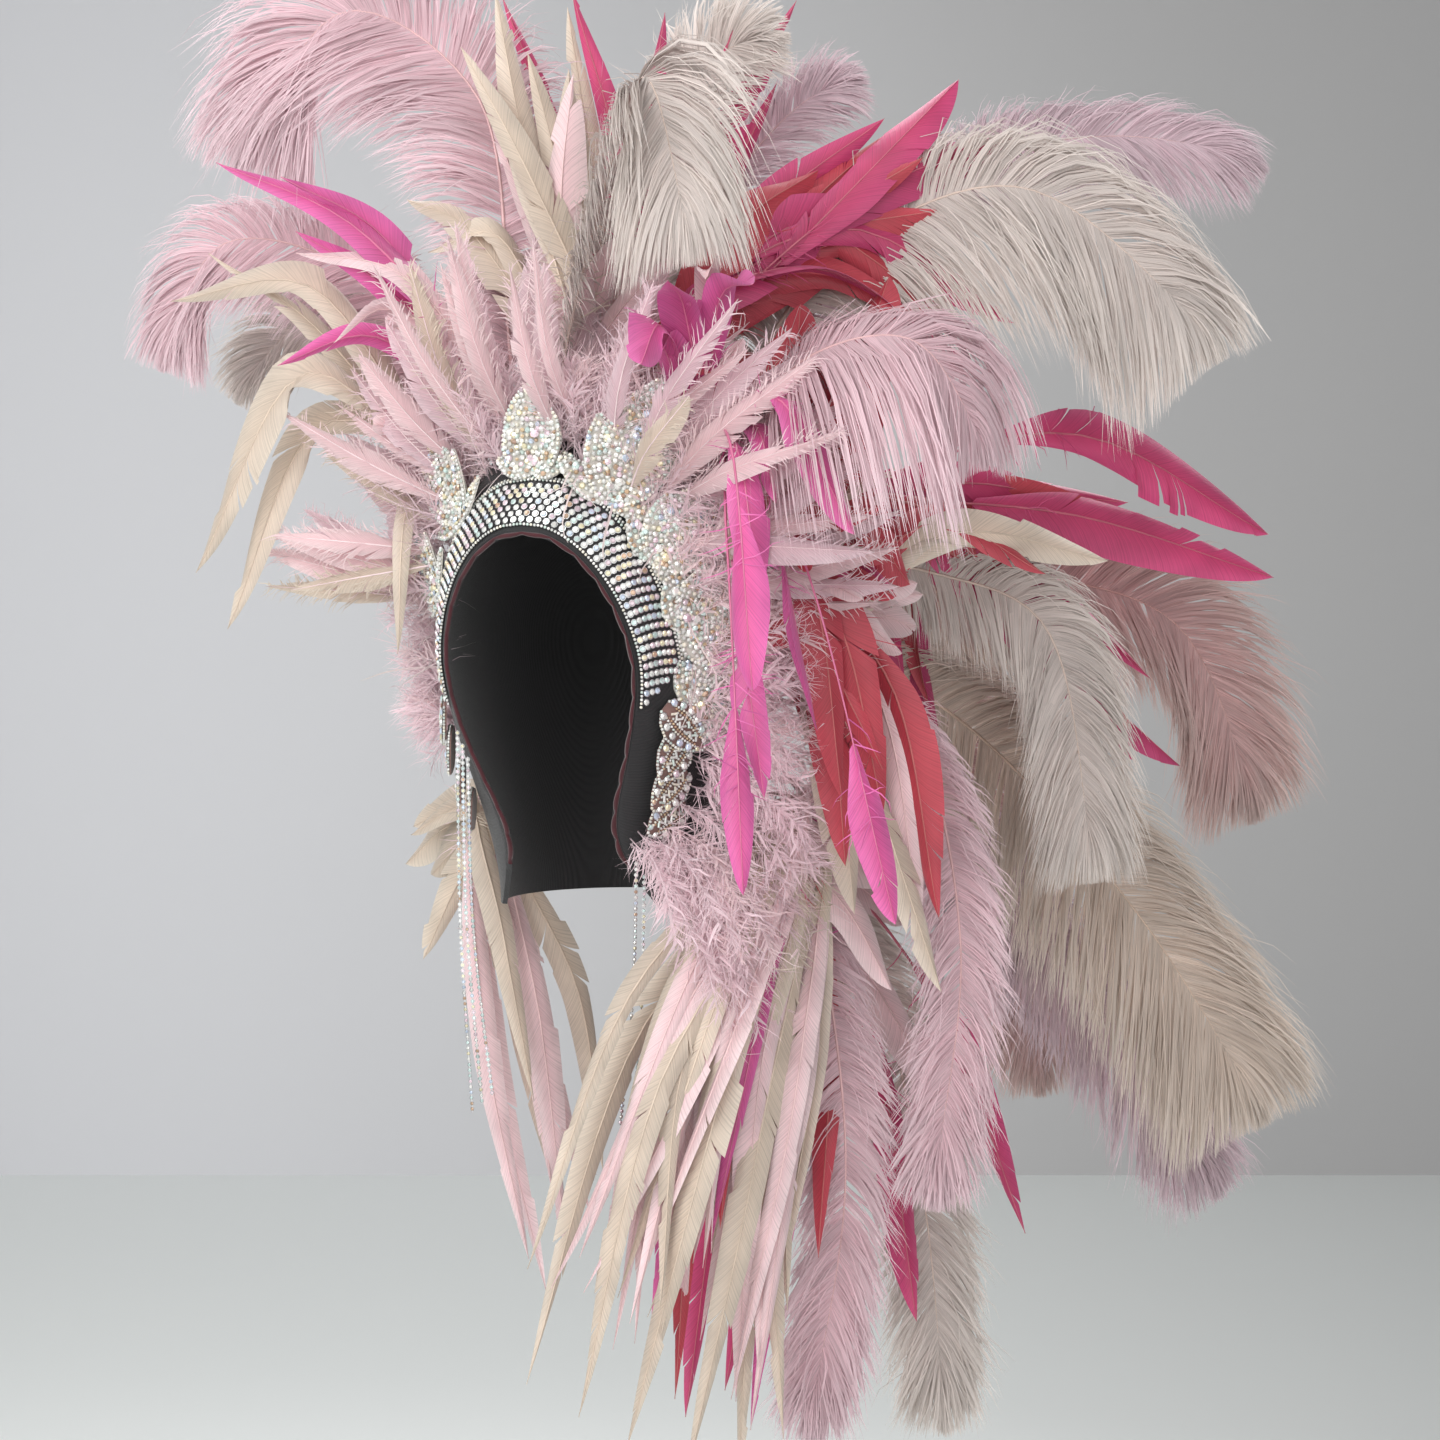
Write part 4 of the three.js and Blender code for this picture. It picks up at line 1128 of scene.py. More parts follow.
@dataclass
class FeatherFan:
    """Cut feathers whose quills are sewn to one pad.

    Attributes:
        name: Name of the solid that it replaces.
        tint: Dye of its feathers.
        fill: Dye of the shorter feathers between them.
        seat: Bearing and height of the pad on the hood.
        blades: Tip as right, near and up, bow and width of each feather.
        extra: Shorter feathers beside each one.
        vane_length: Length of the vane at the end of each quill.
        mix: Other dyes among its shorter feathers.
        QUILL_ROW: Width of the row in which the quills are sewn.
        STALK_ROW: Width of that row at the stalks' ends.
        STALK: How far the stalks stand straight out.
        STAGGER: How far each other quill lies off the row.
        SHORT: Number of short feathers that cover the quills.
        FLUFFS: Number of fluffy barbs below each vane.
        PAD: Radius and lift of each ring of the pad.
        SLOTS: The record's finish of each dye.
    """

    name: str
    tint: Tint
    fill: Tint
    seat: tuple[float, float]
    blades: tuple
    extra: int = 1
    vane_length: float = 150
    mix: tuple[Tint, ...] = ()
    QUILL_ROW: ClassVar[float] = 13
    STALK_ROW: ClassVar[float] = 26
    STALK: ClassVar[float] = 32
    STAGGER: ClassVar[float] = 3.4
    SHORT: ClassVar[int] = 9
    FLUFFS: ClassVar[int] = 16
    PAD: ClassVar[tuple] = ((8.6, 0.1), (9.4, 0.5), (9.4, 1.2), (8.4, 1.9), (5.0, 2.3), (1.0, 2.4))
    VANE: ClassVar[Vane] = Vane()
    # Both copies of the hot pink dye, the painted shaded one and the painted lit one, take the one hot pink
    # finish.
    SLOTS: ClassVar[dict] = {Tint.MAGENTA: "hot_pink", Tint.HOT_PINK: "hot_pink", Tint.SAND: "cream",
                             Tint.CORAL: "coral", Tint.PETAL: "blush"}
    FLUFF: ClassVar[Growth] = Growth(segments=4, width=0.7, sag=0.3, wander=0.4, clump=3, cling=0.2)

    def build(self, seed: int) -> bpy.types.Object:
        """Model the feathers and the pad.

        Args:
            seed: Seed for this fan's chance.

        Returns:
            The dressed piece.
        """
        heap = Heap(seed)
        rng = heap.rng
        centre = HOOD.point(*self.seat, 0.35)
        out = HOOD.normal(centre)
        aside = unit(np.cross(out, [0, 0.3, 1]))
        cross = np.cross(out, aside)
        for at, (tip, bow, width) in enumerate(self.blades):
            share = at / (len(self.blades) - 1) - 0.5
            start = centre + cross * (self.STAGGER if at % 2 else -self.STAGGER) + out
            root = start + aside * share * self.QUILL_ROW
            stalk = start + aside * share * self.STALK_ROW + out * (self.STALK - 1)
            end = quarter(*tip)
            self.add_blade(heap, [root, stalk, end], bow, width, self.tint)
            for _ in range(self.extra):
                short = end + (stalk - end) * rng.uniform(0.08, 0.34) + rng.normal(0, 9, 3)
                dye = (self.tint, self.fill, *self.mix)[rng.integers(2 + len(self.mix))]
                self.add_blade(heap, [root, stalk + rng.normal(0, 3, 3), short],
                               bow * rng.uniform(0.5, 1.3), width * rng.uniform(0.7, 1.0), dye)
        self.add_fill(heap, centre, out)
        self.add_pad(heap, centre, out, aside, cross)
        return heap.build(self.name, "feathers", "feather_" + self.SLOTS[self.tint], (GOOSE, HORN, FELT))

    def add_fill(self, heap: Heap, centre: np.ndarray, out: np.ndarray) -> None:
        """Add short feathers that lie away from the face and cover the quills.

        Args:
            heap: Where they go.
            centre: Place of the pad.
            out: The way out of the hood there.
        """
        rng = heap.rng
        away = unit(centre - np.array([0, -70, -110]))
        for _ in range(self.SHORT):
            lean = unit(out * rng.uniform(0.25, 0.8) + away * 0.5 + rng.normal(0, 0.42, 3))
            size = rng.uniform(62, 108)
            stalk = centre + out * rng.uniform(6, 12) + lean * 12
            end = centre + (lean + DOWN * 0.12) * size
            self.add_blade(heap, [centre, stalk, end], rng.uniform(2, 9), rng.uniform(15, 24), self.fill)

    def add_blade(self, heap: Heap, knots: list, bow: float, width: float,
                  tint: Tint) -> None:
        """Add one feather with its quill, its vane and the fluff below the vane.

        Args:
            heap: Where it goes.
            knots: Root, stalk and tip.
            bow: How far the middle is lifted.
            width: Width over both vanes.
            tint: Its dye.
        """
        rng = heap.rng
        root, stalk, end = knots
        span = float(np.linalg.norm(end - stalk))
        middle = (stalk + end) / 2 + np.array([0, 0, bow]) + rng.normal(0, 0.04, 3) * span
        quill = Quill([root, stalk, middle, end], unit(quarter(0, 1, 0.35) + rng.normal(0, 0.3, 3)))
        runs = np.linspace(0, 1, 18)
        tube(heap, quill.read(runs)[0], 0.9 * (1 - 0.88 * runs) + 0.1,
             tint.root * 0.8 + np.array([0.12, 0.1, 0.08]), 4, 1)
        start = max(0.12, 1 - self.vane_length / quill.length)
        self.VANE.add(heap, quill, start, width, tint, rng.normal(1, 0.05))
        count, dye = self.FLUFFS, np.tile(tint.tip, (self.FLUFFS, 1))
        run = start + rng.uniform(-0.05, 0.14, count)
        centre, along, across, out = quill.read(run)
        heading = unit(across * rng.choice([-1, 1], (count, 1)) + along * 0.5
                       + rng.normal(0, 0.4, (count, 3)))
        self.FLUFF.grow(heap, centre, heading, out, rng.uniform(10, 24, count), np.zeros((count, 3)), dye,
                        dye)

    def add_pad(self, heap: Heap, centre: np.ndarray, out: np.ndarray, aside: np.ndarray,
                cross: np.ndarray) -> None:
        """Add the sewn felt pad with its domed top.

        Args:
            heap: Where it goes.
            centre: Its place on the hood.
            out: The way out of the hood.
            aside: One way across it.
            cross: The other way across it.
        """
        angles = np.linspace(0, 2 * math.pi, 20, endpoint=False)[:, None]
        rim = aside * np.cos(angles) + cross * np.sin(angles)
        rings = [centre + rim * size + out * lift for size, lift in self.PAD]
        heap.add(np.array(rings), grid(len(rings), len(rim)), self.tint.root * 0.5, 2)


FANS = (
    FeatherFan("pink_fan_crown_right", Tint.MAGENTA, Tint.PETAL, (-52, -16), (
        ((-184, 46, 112), 24, 16), ((-152, 54, 104), 20, 15), ((-147, 40, 80), 14, 14),
        ((-153, 60, 14), 20, 12))),
    FeatherFan("pink_fan_top", Tint.HOT_PINK, Tint.SAND, (-160, -3), (
        ((-50, 2, 200), 6, 14), ((-16, -8, 204), 4, 16), ((30, -16, 196), 4, 15), ((64, -20, 188), 4, 14),
        ((96, -26, 204), 8, 16))),
    FeatherFan("pink_fan_top_left", Tint.HOT_PINK, Tint.CORAL, (60, -9), (
        ((178, -28, 165), 20, 26), ((206, -24, 138), 30, 28), ((128, -18, 128), 14, 30),
        ((150, -12, 98), 26, 30),
        ((204, -2, 40), 44, 22)), 3),
    FeatherFan("pink_cluster_left", Tint.MAGENTA, Tint.PETAL, (66, -34), (
        ((138, 122, -246), 50, 16), ((118, 136, -68), 40, 17), ((68, 146, -230), 50, 16),
        ((72, 150, -138), 46, 22),
        ((72, 136, 44), 26, 18), ((34, 132, 46), 20, 20), ((22, 140, 8), 28, 22)), 1, 86),
    FeatherFan("pink_fan_left", Tint.HOT_PINK, Tint.HOT_PINK, (112, -60), (
        ((356, -128, -62), 20, 30), ((286, -112, -54), 14, 32), ((308, -124, -188), 34, 30),
        ((290, -114, -140), 26, 26), ((178, -96, -188), 40, 24)), 4, 190, (Tint.CORAL,)),
    FeatherFan("pink_fan_low", Tint.HOT_PINK, Tint.PETAL, (126, -222), (
        ((158, -18, -466), 20, 20), ((214, -24, -422), 30, 20), ((60, -12, -500), 16, 16),
        ((40, -6, -512), 18, 15))),
    FeatherFan("cream_fan_right", Tint.SAND, Tint.PETAL, (-68, -40), (
        ((-214, 6, 50), 34, 20), ((-202, 10, -84), 66, 22), ((-188, 2, -112), 62, 20),
        ((-100, 30, -124), 20, 10),
        ((-196, 2, 74), 30, 18)), 0, 170),
    FeatherFan("cream_fan_top", Tint.SAND, Tint.PETAL, (0, -2), (
        ((-68, 30, 170), 10, 16), ((-52, 22, 198), 8, 17), ((-16, 26, 160), 6, 20), ((-94, 34, 96), 26, 20))),
    FeatherFan("cream_fan_left", Tint.SAND, Tint.PETAL, (92, -104), (
        ((252, -8, -78), 34, 24), ((122, 60, -248), 24, 24), ((164, 58, -286), 34, 22),
        ((62, 96, -78), 34, 30)),
        2, 150, (Tint.CORAL,)),
    FeatherFan("coral_fan_left", Tint.CORAL, Tint.CORAL, (84, -78), (
        ((96, 50, 44), 10, 36), ((140, 26, 60), 16, 36), ((112, 64, -150), 26, 26), ((136, 56, -200), 30, 24),
        ((150, 34, -90), 26, 30)), 5, 170, (Tint.HOT_PINK,)),
    FeatherFan("hackle_fall_left", Tint.SAND, Tint.PETAL, (97, -210), (
        ((88, 70, -500), 16, 17), ((66, 84, -516), 16, 17), ((42, 98, -508), 18, 17),
        ((30, 104, -440), 18, 17),
        ((14, 110, -492), 18, 16), ((-8, 116, -476), 18, 16), ((-32, 118, -460), 20, 15)), 6, 280,
        (Tint.SAND, Tint.PETAL, Tint.SAND, Tint.PETAL, Tint.CORAL, Tint.PETAL, Tint.MAGENTA)),
    FeatherFan("hackle_fall_right", Tint.PETAL, Tint.SAND, (-112, -206), (
        ((-42, -44, -440), 6, 15), ((-34, -62, -462), 6, 16), ((-24, -80, -450), 6, 16),
        ((-12, -96, -430), 6, 16)),
        1, 230),
)


@dataclass
class MarabouCollar:
    """Down behind the band on one side, in tufts with limp barbs.

    Attributes:
        side: Name of the side.
        sign: 1 for the wearer's left and -1 for the right.
        tufts: Number of tufts.
        end: Where the collar ends along the opening.
        hackles: Number of slender feathers over the down.
        wisps: Number of long loose barbs over the band.
        hem: Number of tufts over the lower front edge of the hood.
        back: Nearest and farthest place behind the opening.
        LAYERS: Growth, number and reach of a tuft's lower barbs and of its upper ones.
        WISP: How the long loose barbs grow.
        HACKLE: The vane of a slender feather.
        DYES: Dyes of the slender feathers and how often each comes up.
    """

    side: str
    sign: int
    tufts: int
    end: float
    hackles: int
    wisps: int
    hem: int = 0
    back: tuple[float, float] = (25, 46)
    LAYERS: ClassVar[tuple] = (
        (Growth(segments=3, width=1.7, taper=0.2, sag=0.3, wander=0.3, clump=3, cling=0.2), 13, 0.85),
        (Growth(segments=3, width=0.42, sag=0.3, wander=0.5, clump=3, cling=0.22, stray=0.16), 62, 1.05),
    )
    WISP: ClassVar[Growth] = Growth(segments=9, width=1.1, sag=0.9, wander=0.45, clump=1, cling=0.25,
                                    stray=0.1)
    HACKLE: ClassVar[Vane] = Vane(row=6, slant=34, slits=7, narrow=0.7, fringe=90)
    DYES: ClassVar[tuple] = ((Tint.PETAL, Tint.BLUSH, Tint.SAND), (0.5, 0.35, 0.15))

    def build(self, seed: int) -> bpy.types.Object:
        """Model the tufts.

        Args:
            seed: Seed for this collar's chance.

        Returns:
            The dressed piece.
        """
        heap = Heap(seed)
        rng = heap.rng
        for share in np.linspace(0.004, self.end, self.tufts):
            near = self.back[0] - 19 * float(smooth(share, 0.7, 0.84))
            back = rng.uniform(near, self.back[1])
            self.add_tuft(heap, *self.seat(share, back), (back - near) / (self.back[1] - near), share)
        for share in np.linspace(0.78, self.end, self.hem):
            self.add_tuft(heap, *self.seat(share, rng.uniform(1.5, 12)), 0.5, share)
        for share in np.linspace(0.01, 0.46, self.hackles):
            self.add_hackle(heap, *self.seat(share, rng.uniform(30, 44)))
        self.add_wisps(heap)
        return heap.build(f"marabou_{self.side}", "down", "marabou_blush", (DOWNY, HORN))

    def seat(self, share: float, back: float) -> tuple[np.ndarray, np.ndarray, np.ndarray]:
        """Give a place on the hood, the way out there and the way back from the opening."""
        root = HOOD.along_row(self.sign * share, back, 0.6)
        return root, HOOD.normal(root), unit(HOOD.along_row(self.sign * share, back + 6, 0.6) - root)

    def add_wisps(self, heap: Heap) -> None:
        """Add a few long loose barbs that fall forward over the band."""
        rng = heap.rng
        for share in np.sort(rng.uniform(0.02, 0.62, self.wisps)):
            root, out, away = self.seat(share, rng.uniform(24, 30))
            lean = unit(out * 0.7 - away * rng.uniform(0.5, 1.1) + rng.normal(0, 0.25, 3))
            self.WISP.grow(heap, root[None], lean[None], out[None], rng.uniform(24, 56, 1), np.zeros((1, 3)),
                           Tint.PETAL.tip[None], Tint.IVORY.tip[None])

    def add_hackle(self, heap: Heap, root: np.ndarray, out: np.ndarray,
                   away: np.ndarray) -> None:
        """Add one slender pale feather that stands out over the down.

        Args:
            heap: Where it goes.
            root: Where it is sewn.
            out: The way out of the hood.
            away: The way back from the opening.
        """
        rng = heap.rng
        size = rng.uniform(76, 117)
        lean = unit(out + away * rng.uniform(0.1, 0.8) + rng.normal(0, 0.24, 3))
        quill = Quill([root, root + lean * size * 0.5, root + unit(lean + away * 0.3 + DOWN * 0.2) * size],
                      unit(quarter(0, 1, 0.35)))
        runs = np.linspace(0, 1, 10)
        tube(heap, quill.read(runs)[0], 0.55 * (1 - 0.8 * runs) + 0.05, Tint.PETAL.tip, 3, 1)
        dyes, odds = self.DYES
        dye = dyes[int(rng.choice(len(dyes), p=odds))]
        self.HACKLE.add(heap, quill, 0.12, rng.uniform(8, 15), dye, rng.normal(1, 0.04))

    def add_tuft(self, heap: Heap, root: np.ndarray, out: np.ndarray,
                 away: np.ndarray, depth: float, share: float) -> None:
        """Add one small down feather.

        Args:
            heap: Where it goes.
            root: Where it is sewn.
            out: The way out of the hood.
            away: The way back from the opening.
            depth: 0 for the row at the band and 1 for the last row.
            share: Place along the collar.
        """
        rng = heap.rng
        low = float(smooth(share, 0.5, 0.95))
        size = rng.uniform(34, 56) + 42 * low * (1 - 0.6 * depth)
        size *= 1 - 0.45 * float(smooth(share, 0.4, 0.56)) * (self.sign < 0)
        lean = unit(out * rng.uniform(0.5, 1.0) + away * rng.uniform(0.3, 1.0) * (1 - 0.8 * low)
                    + DOWN * 0.7 * low + rng.normal(0, 0.16, 3))
        middle = root + lean * size * 0.5
        tip = root + unit(lean + away * 0.15 * (1 - low) + DOWN * 0.5 * low) * size
        quill = Quill([root, middle, tip], out)
        runs = np.linspace(0, 1, 8)
        tube(heap, quill.read(runs)[0], 0.4 * (1 - 0.7 * runs), Tint.BLUSH.tip, 3, 1)
        dye = Tint.BLUSH if rng.uniform() < 0.7 else Tint.PETAL
        for growth, count, reach in self.LAYERS:
            run = rng.uniform(0.05, 1, count)
            centre, along, across, face = quill.read(run)
            turn = rng.uniform(0, 6.28, (count, 1))
            heading = unit(across * np.cos(turn) + face * np.sin(turn) * 0.7
                           + along * rng.uniform(0.5, 1.4, (count, 1)))
            lengths = rng.uniform(11, 25, count) * (1.1 - 0.35 * run) * reach
            # The lower barbs are painted 3% darker, as painted shade beneath the upper ones.
            tone = rng.normal(1.1, 0.05, (count, 1)) * (0.97 if reach < 1 else 1)
            growth.grow(heap, centre, heading, face, lengths, np.zeros((count, 3)),
                        np.minimum(dye.tip * tone, 1), np.minimum(dye.tip * tone * 1.06, 1))


@contextmanager
def editing(piece: bpy.types.Object) -> Iterator[None]:
    """Work on all of one piece in edit mode.

    Args:
        piece: The piece.

    Yields:
        Nothing, while the mode lasts.
    """
    bpy.ops.object.select_all(action="DESELECT")
    bpy.context.view_layer.objects.active = piece
    piece.select_set(True)
    bpy.ops.object.mode_set(mode="EDIT")
    bpy.ops.mesh.select_all(action="SELECT")
    yield
    bpy.ops.object.mode_set(mode="OBJECT")


def merged_template(build: Callable[[], None]) -> tuple[np.ndarray, np.ndarray]:
    """Model a small shape of radius 1 by operators and read it for copying.

    Args:
        build: What adds and shapes the primitive.

    Returns:
        Its vertices, and its faces as triangles.
    """
    build()
    model = bpy.context.object
    with editing(model):
        bpy.ops.mesh.remove_doubles(threshold=1e-5)
        bpy.ops.mesh.quads_convert_to_tris()
        bpy.ops.mesh.normals_make_consistent(inside=False)
    bpy.ops.object.transform_apply(location=True, rotation=True, scale=True)
    mesh = model.data
    points = np.zeros(len(mesh.vertices) * 3)
    mesh.vertices.foreach_get("co", points)
    faces = np.array([tuple(face.vertices) for face in mesh.polygons])
    bpy.data.objects.remove(model)
    bpy.data.meshes.remove(mesh)
    return points.reshape(-1, 3), faces


def cut_stone() -> None:
    """Add a round stone with a table and eight facets."""
    bpy.ops.mesh.primitive_cone_add(vertices=8, radius1=1, radius2=0.56, depth=0.62, location=(0, 0, 0.31))


def setting_cup() -> None:
    """Add the low cup that a stone sits in."""
    bpy.ops.mesh.primitive_cone_add(vertices=8, radius1=0.8, radius2=1.08, depth=0.5, location=(0, 0, -0.1))


def round_bead() -> None:
    """Add a slightly flattened bead."""
    bpy.ops.mesh.primitive_uv_sphere_add(segments=6, ring_count=3, radius=1)
    bpy.context.object.scale = (1, 1, 0.8)


def bugle_bead() -> None:
    """Add a short glass tube that lies along X."""
    bpy.ops.mesh.primitive_cylinder_add(vertices=6, radius=1, depth=5.2, rotation=(0, math.pi / 2, 0))


class BeadKit:
    """Small stones and beads, each modelled once at radius 1 and copied."""

    def __init__(self) -> None:
        """Model the four shapes."""
        self.shapes = {name: merged_template(build) for name, build in (
            ("stone", cut_stone), ("cup", setting_cup), ("seed", round_bead), ("bugle", bugle_bead))}

    def scatter(self, heap: Heap, shape: str, places: np.ndarray, out: np.ndarray, aside: np.ndarray,
                radius: np.ndarray | float, dye: np.ndarray | Colour, slot: int) -> None:
        """Copy a shape to many places.

        Args:
            heap: Where the copies go.
            shape: Which shape.
            places: Centre of each copy.
            out: The way that its top looks.
            aside: The way that its X points.
            radius: Radius of each.
            dye: Colour of each.
            slot: Material slot.
        """
        points, faces = self.shapes[shape]
        count = len(places)
        top = unit(np.broadcast_to(out, (count, 3)))
        first = np.broadcast_to(aside, (count, 3))
        first = unit(first - top * (first * top).sum(-1, keepdims=True))
        axes = np.stack([first, np.cross(top, first), top], 1)
        size = np.broadcast_to(np.asarray(radius, float), (count,))[:, None, None]
        made = places[:, None] + np.einsum("vk,nkc->nvc", points, axes) * size
        index = faces[None] + (np.arange(count) * len(points))[:, None, None]
        colour = np.repeat(np.broadcast_to(dye, (count, 3)), len(points), 0)
        heap.add(made, index, colour, slot)


@dataclass(frozen=True)
class Sparkle:
    """Colours of the crystals, picked by chance for each stone.

    Attributes:
        colours: The colours.
        odds: How often each comes up.
    """

    colours: tuple[Colour, ...]
    odds: tuple[float, ...]

    def pick(self, rng: np.random.Generator, count: int) -> np.ndarray:
        """Give a colour for each of a number of stones."""
        chosen = rng.choice(len(self.colours), count, p=np.array(self.odds) / sum(self.odds))
        return np.array(self.colours)[chosen] * rng.uniform(0.82, 1.08, (count, 1))


AURORA = Sparkle((linear(240, 240, 236), linear(214, 236, 232), linear(238, 216, 226), linear(238, 230, 196),
                  linear(206, 220, 238), linear(206, 176, 150)), (5, 2.4, 2, 2, 1.4, 1))
SILVER = Sparkle((linear(232, 232, 228), linear(212, 214, 210), linear(240, 236, 220), linear(206, 222, 214)),
                 (4, 2, 2, 1.4))
GILT = Sparkle((linear(190, 160, 128), linear(206, 182, 148), linear(160, 130, 112)), (3, 2, 2))
PLATED = linear(206, 208, 208)
BLACK = linear(20, 19, 22)
BURGUNDY = linear(66, 14, 24)


def strip(heap: Heap, along: np.ndarray, low: np.ndarray, high: np.ndarray, inner: float, outer: float,
          dye: Colour, slot: int = 0, columns: int = 5) -> None:
    """Add a closed strip that follows the face opening.

    Args:
        heap: Where it goes.
        along: Places along the row.
        low: Nearer edge behind the opening at each place.
        high: Farther edge at each place.
        inner: Lift of the under side.
        outer: Lift of the upper side.
        dye: Its colour.
        slot: Material slot.
        columns: Points across each side.
    """
    across = np.linspace(0, 1, columns)[None]
    back = low[:, None] * (1 - across) + high[:, None] * across
    swell = outer - (outer - inner) * 0.35 * np.abs(2 * across - 1) ** 4
    top = HOOD.along_row(np.broadcast_to(along[:, None], back.shape), back,
                         np.broadcast_to(swell, back.shape))
    under = HOOD.along_row(np.broadcast_to(along[:, None], back.shape), back, np.full(back.shape, inner))
    heap.add_bar(np.concatenate([top, under[:, ::-1]], 1), dye, slot)


@dataclass
class NetHood:
    """The close black hood, a wall of knitted cloth that is open for the face.

    Attributes:
        wall: Thickness of the cloth.
        flat: Width and length in metres of the cloth that it is cut from; not used.
        cut: Flat area in square metres of its panels; not used.
    """

    wall: float = 2.0
    flat: tuple[float, float] = (0.42, 0.3)
    cut: float = 0.098

    def build(self) -> bpy.types.Object:
        """Model the wall, cut the face opening and dress it.

        Returns:
            The dressed piece.
        """
        bpy.ops.mesh.primitive_uv_sphere_add(segments=96, ring_count=56, radius=1)
        hood = bpy.context.object
        hood.name = "hood_net"
        self.shape(hood)
        with editing(hood):
            bpy.ops.mesh.bisect(plane_co=(0, 0, (HOOD.bottom + 0.5) * MM), plane_no=(0, 0, 1),
                                clear_inner=True)
        wall = hood.modifiers.new("wall", "SOLIDIFY")
        wall.thickness, wall.offset = self.wall * MM, -1
        bpy.ops.object.modifier_apply(modifier="wall")
        cutter = self.opening_cutter()
        cut = hood.modifiers.new("face", "BOOLEAN")
        cut.operation, cut.object, cut.solver = "DIFFERENCE", cutter, "EXACT"
        bpy.context.view_layer.objects.active = hood
        bpy.ops.object.modifier_apply(modifier="face")
        bpy.data.objects.remove(cutter)
        hood.data.materials.clear()
        hood.data.materials.append(NET.build())
        layer = hood.data.attributes.new("dye", "FLOAT_COLOR", "POINT")
        layer.data.foreach_set("color", np.tile([*BLACK, 1.0], len(hood.data.vertices)))
        bpy.ops.object.select_all(action="DESELECT")
        hood.select_set(True)
        bpy.ops.object.shade_smooth_by_angle(angle=math.radians(40))
        dress(hood, "hood")
        return hood

    def shape(self, hood: bpy.types.Object) -> None:
        """Move the sphere's points to the hood's form.

        Args:
            hood: The sphere of radius 1.
        """
        points = np.zeros(len(hood.data.vertices) * 3)
        hood.data.vertices.foreach_get("co", points)
        points = points.reshape(-1, 3)
        rise = np.clip(points[:, 2], -1, 1)
        below = HOOD.ear + (HOOD.ear - HOOD.bottom) * 1.06 * (np.arcsin(rise) / (math.pi / 2)) * 1.02
        z = np.where(rise > 0, HOOD.ear + HOOD.height * rise, below)
        wide, deep, shift = HOOD.at(z)
        angle = np.arctan2(points[:, 0], -points[:, 1])
        ring = np.hypot(points[:, 0], points[:, 1]) > 1e-4
        made = np.stack([wide * np.sin(angle) * ring, shift - deep * np.cos(angle) * ring, z], -1) * MM
        hood.data.vertices.foreach_set("co", made.ravel())
        hood.data.update()

    def opening_cutter(self) -> bpy.types.Object:
        """Make the block that cuts the face opening.

        Returns:
            The cutting block.
        """
        line = curve_points([(0, y, z) for y, z in HOOD.opening], np.linspace(0, 1, 49))
        outline = np.vstack([line, [[0, -22, -300], [0, -160, -300], [0, -160, 0]]])
        count = len(outline)
        both = np.vstack([outline + [-120, 0, 0], outline + [120, 0, 0]]) * MM
        sides = grid(2, count)[0].tolist()
        mesh = bpy.data.meshes.new("face_cutter")
        mesh.from_pydata(both.tolist(), [], [list(range(count))[::-1], list(range(count, 2 * count)), *sides])
        cutter = bpy.data.objects.new("face_cutter", mesh)
        bpy.context.scene.collection.objects.link(cutter)
        with editing(cutter):
            bpy.ops.mesh.normals_make_consistent(inside=False)
        return cutter


@dataclass
class FeltEdge:
    """Burgundy felt with small scallops inside the face opening.

    Attributes:
        width: Depth of the felt inside the opening.
        scallop: Extra depth at the middle of a scallop.
    """

    width: float = 1.1
    scallop: float = 0.8

    def build(self) -> bpy.types.Object:
        """Model the felt.

        Returns:
            The dressed piece.
        """
        along = np.linspace(-0.86, 0.86, 300)
        edge = -self.width - self.scallop * np.abs(np.sin(along * 48)) ** 0.7
        heap = Heap()
        strip(heap, along, edge, np.full(len(along), -0.6), -1.9, 0.0, BURGUNDY)
        return heap.build("felt_edge", "scallops", "burgundy_felt", (FELT,))


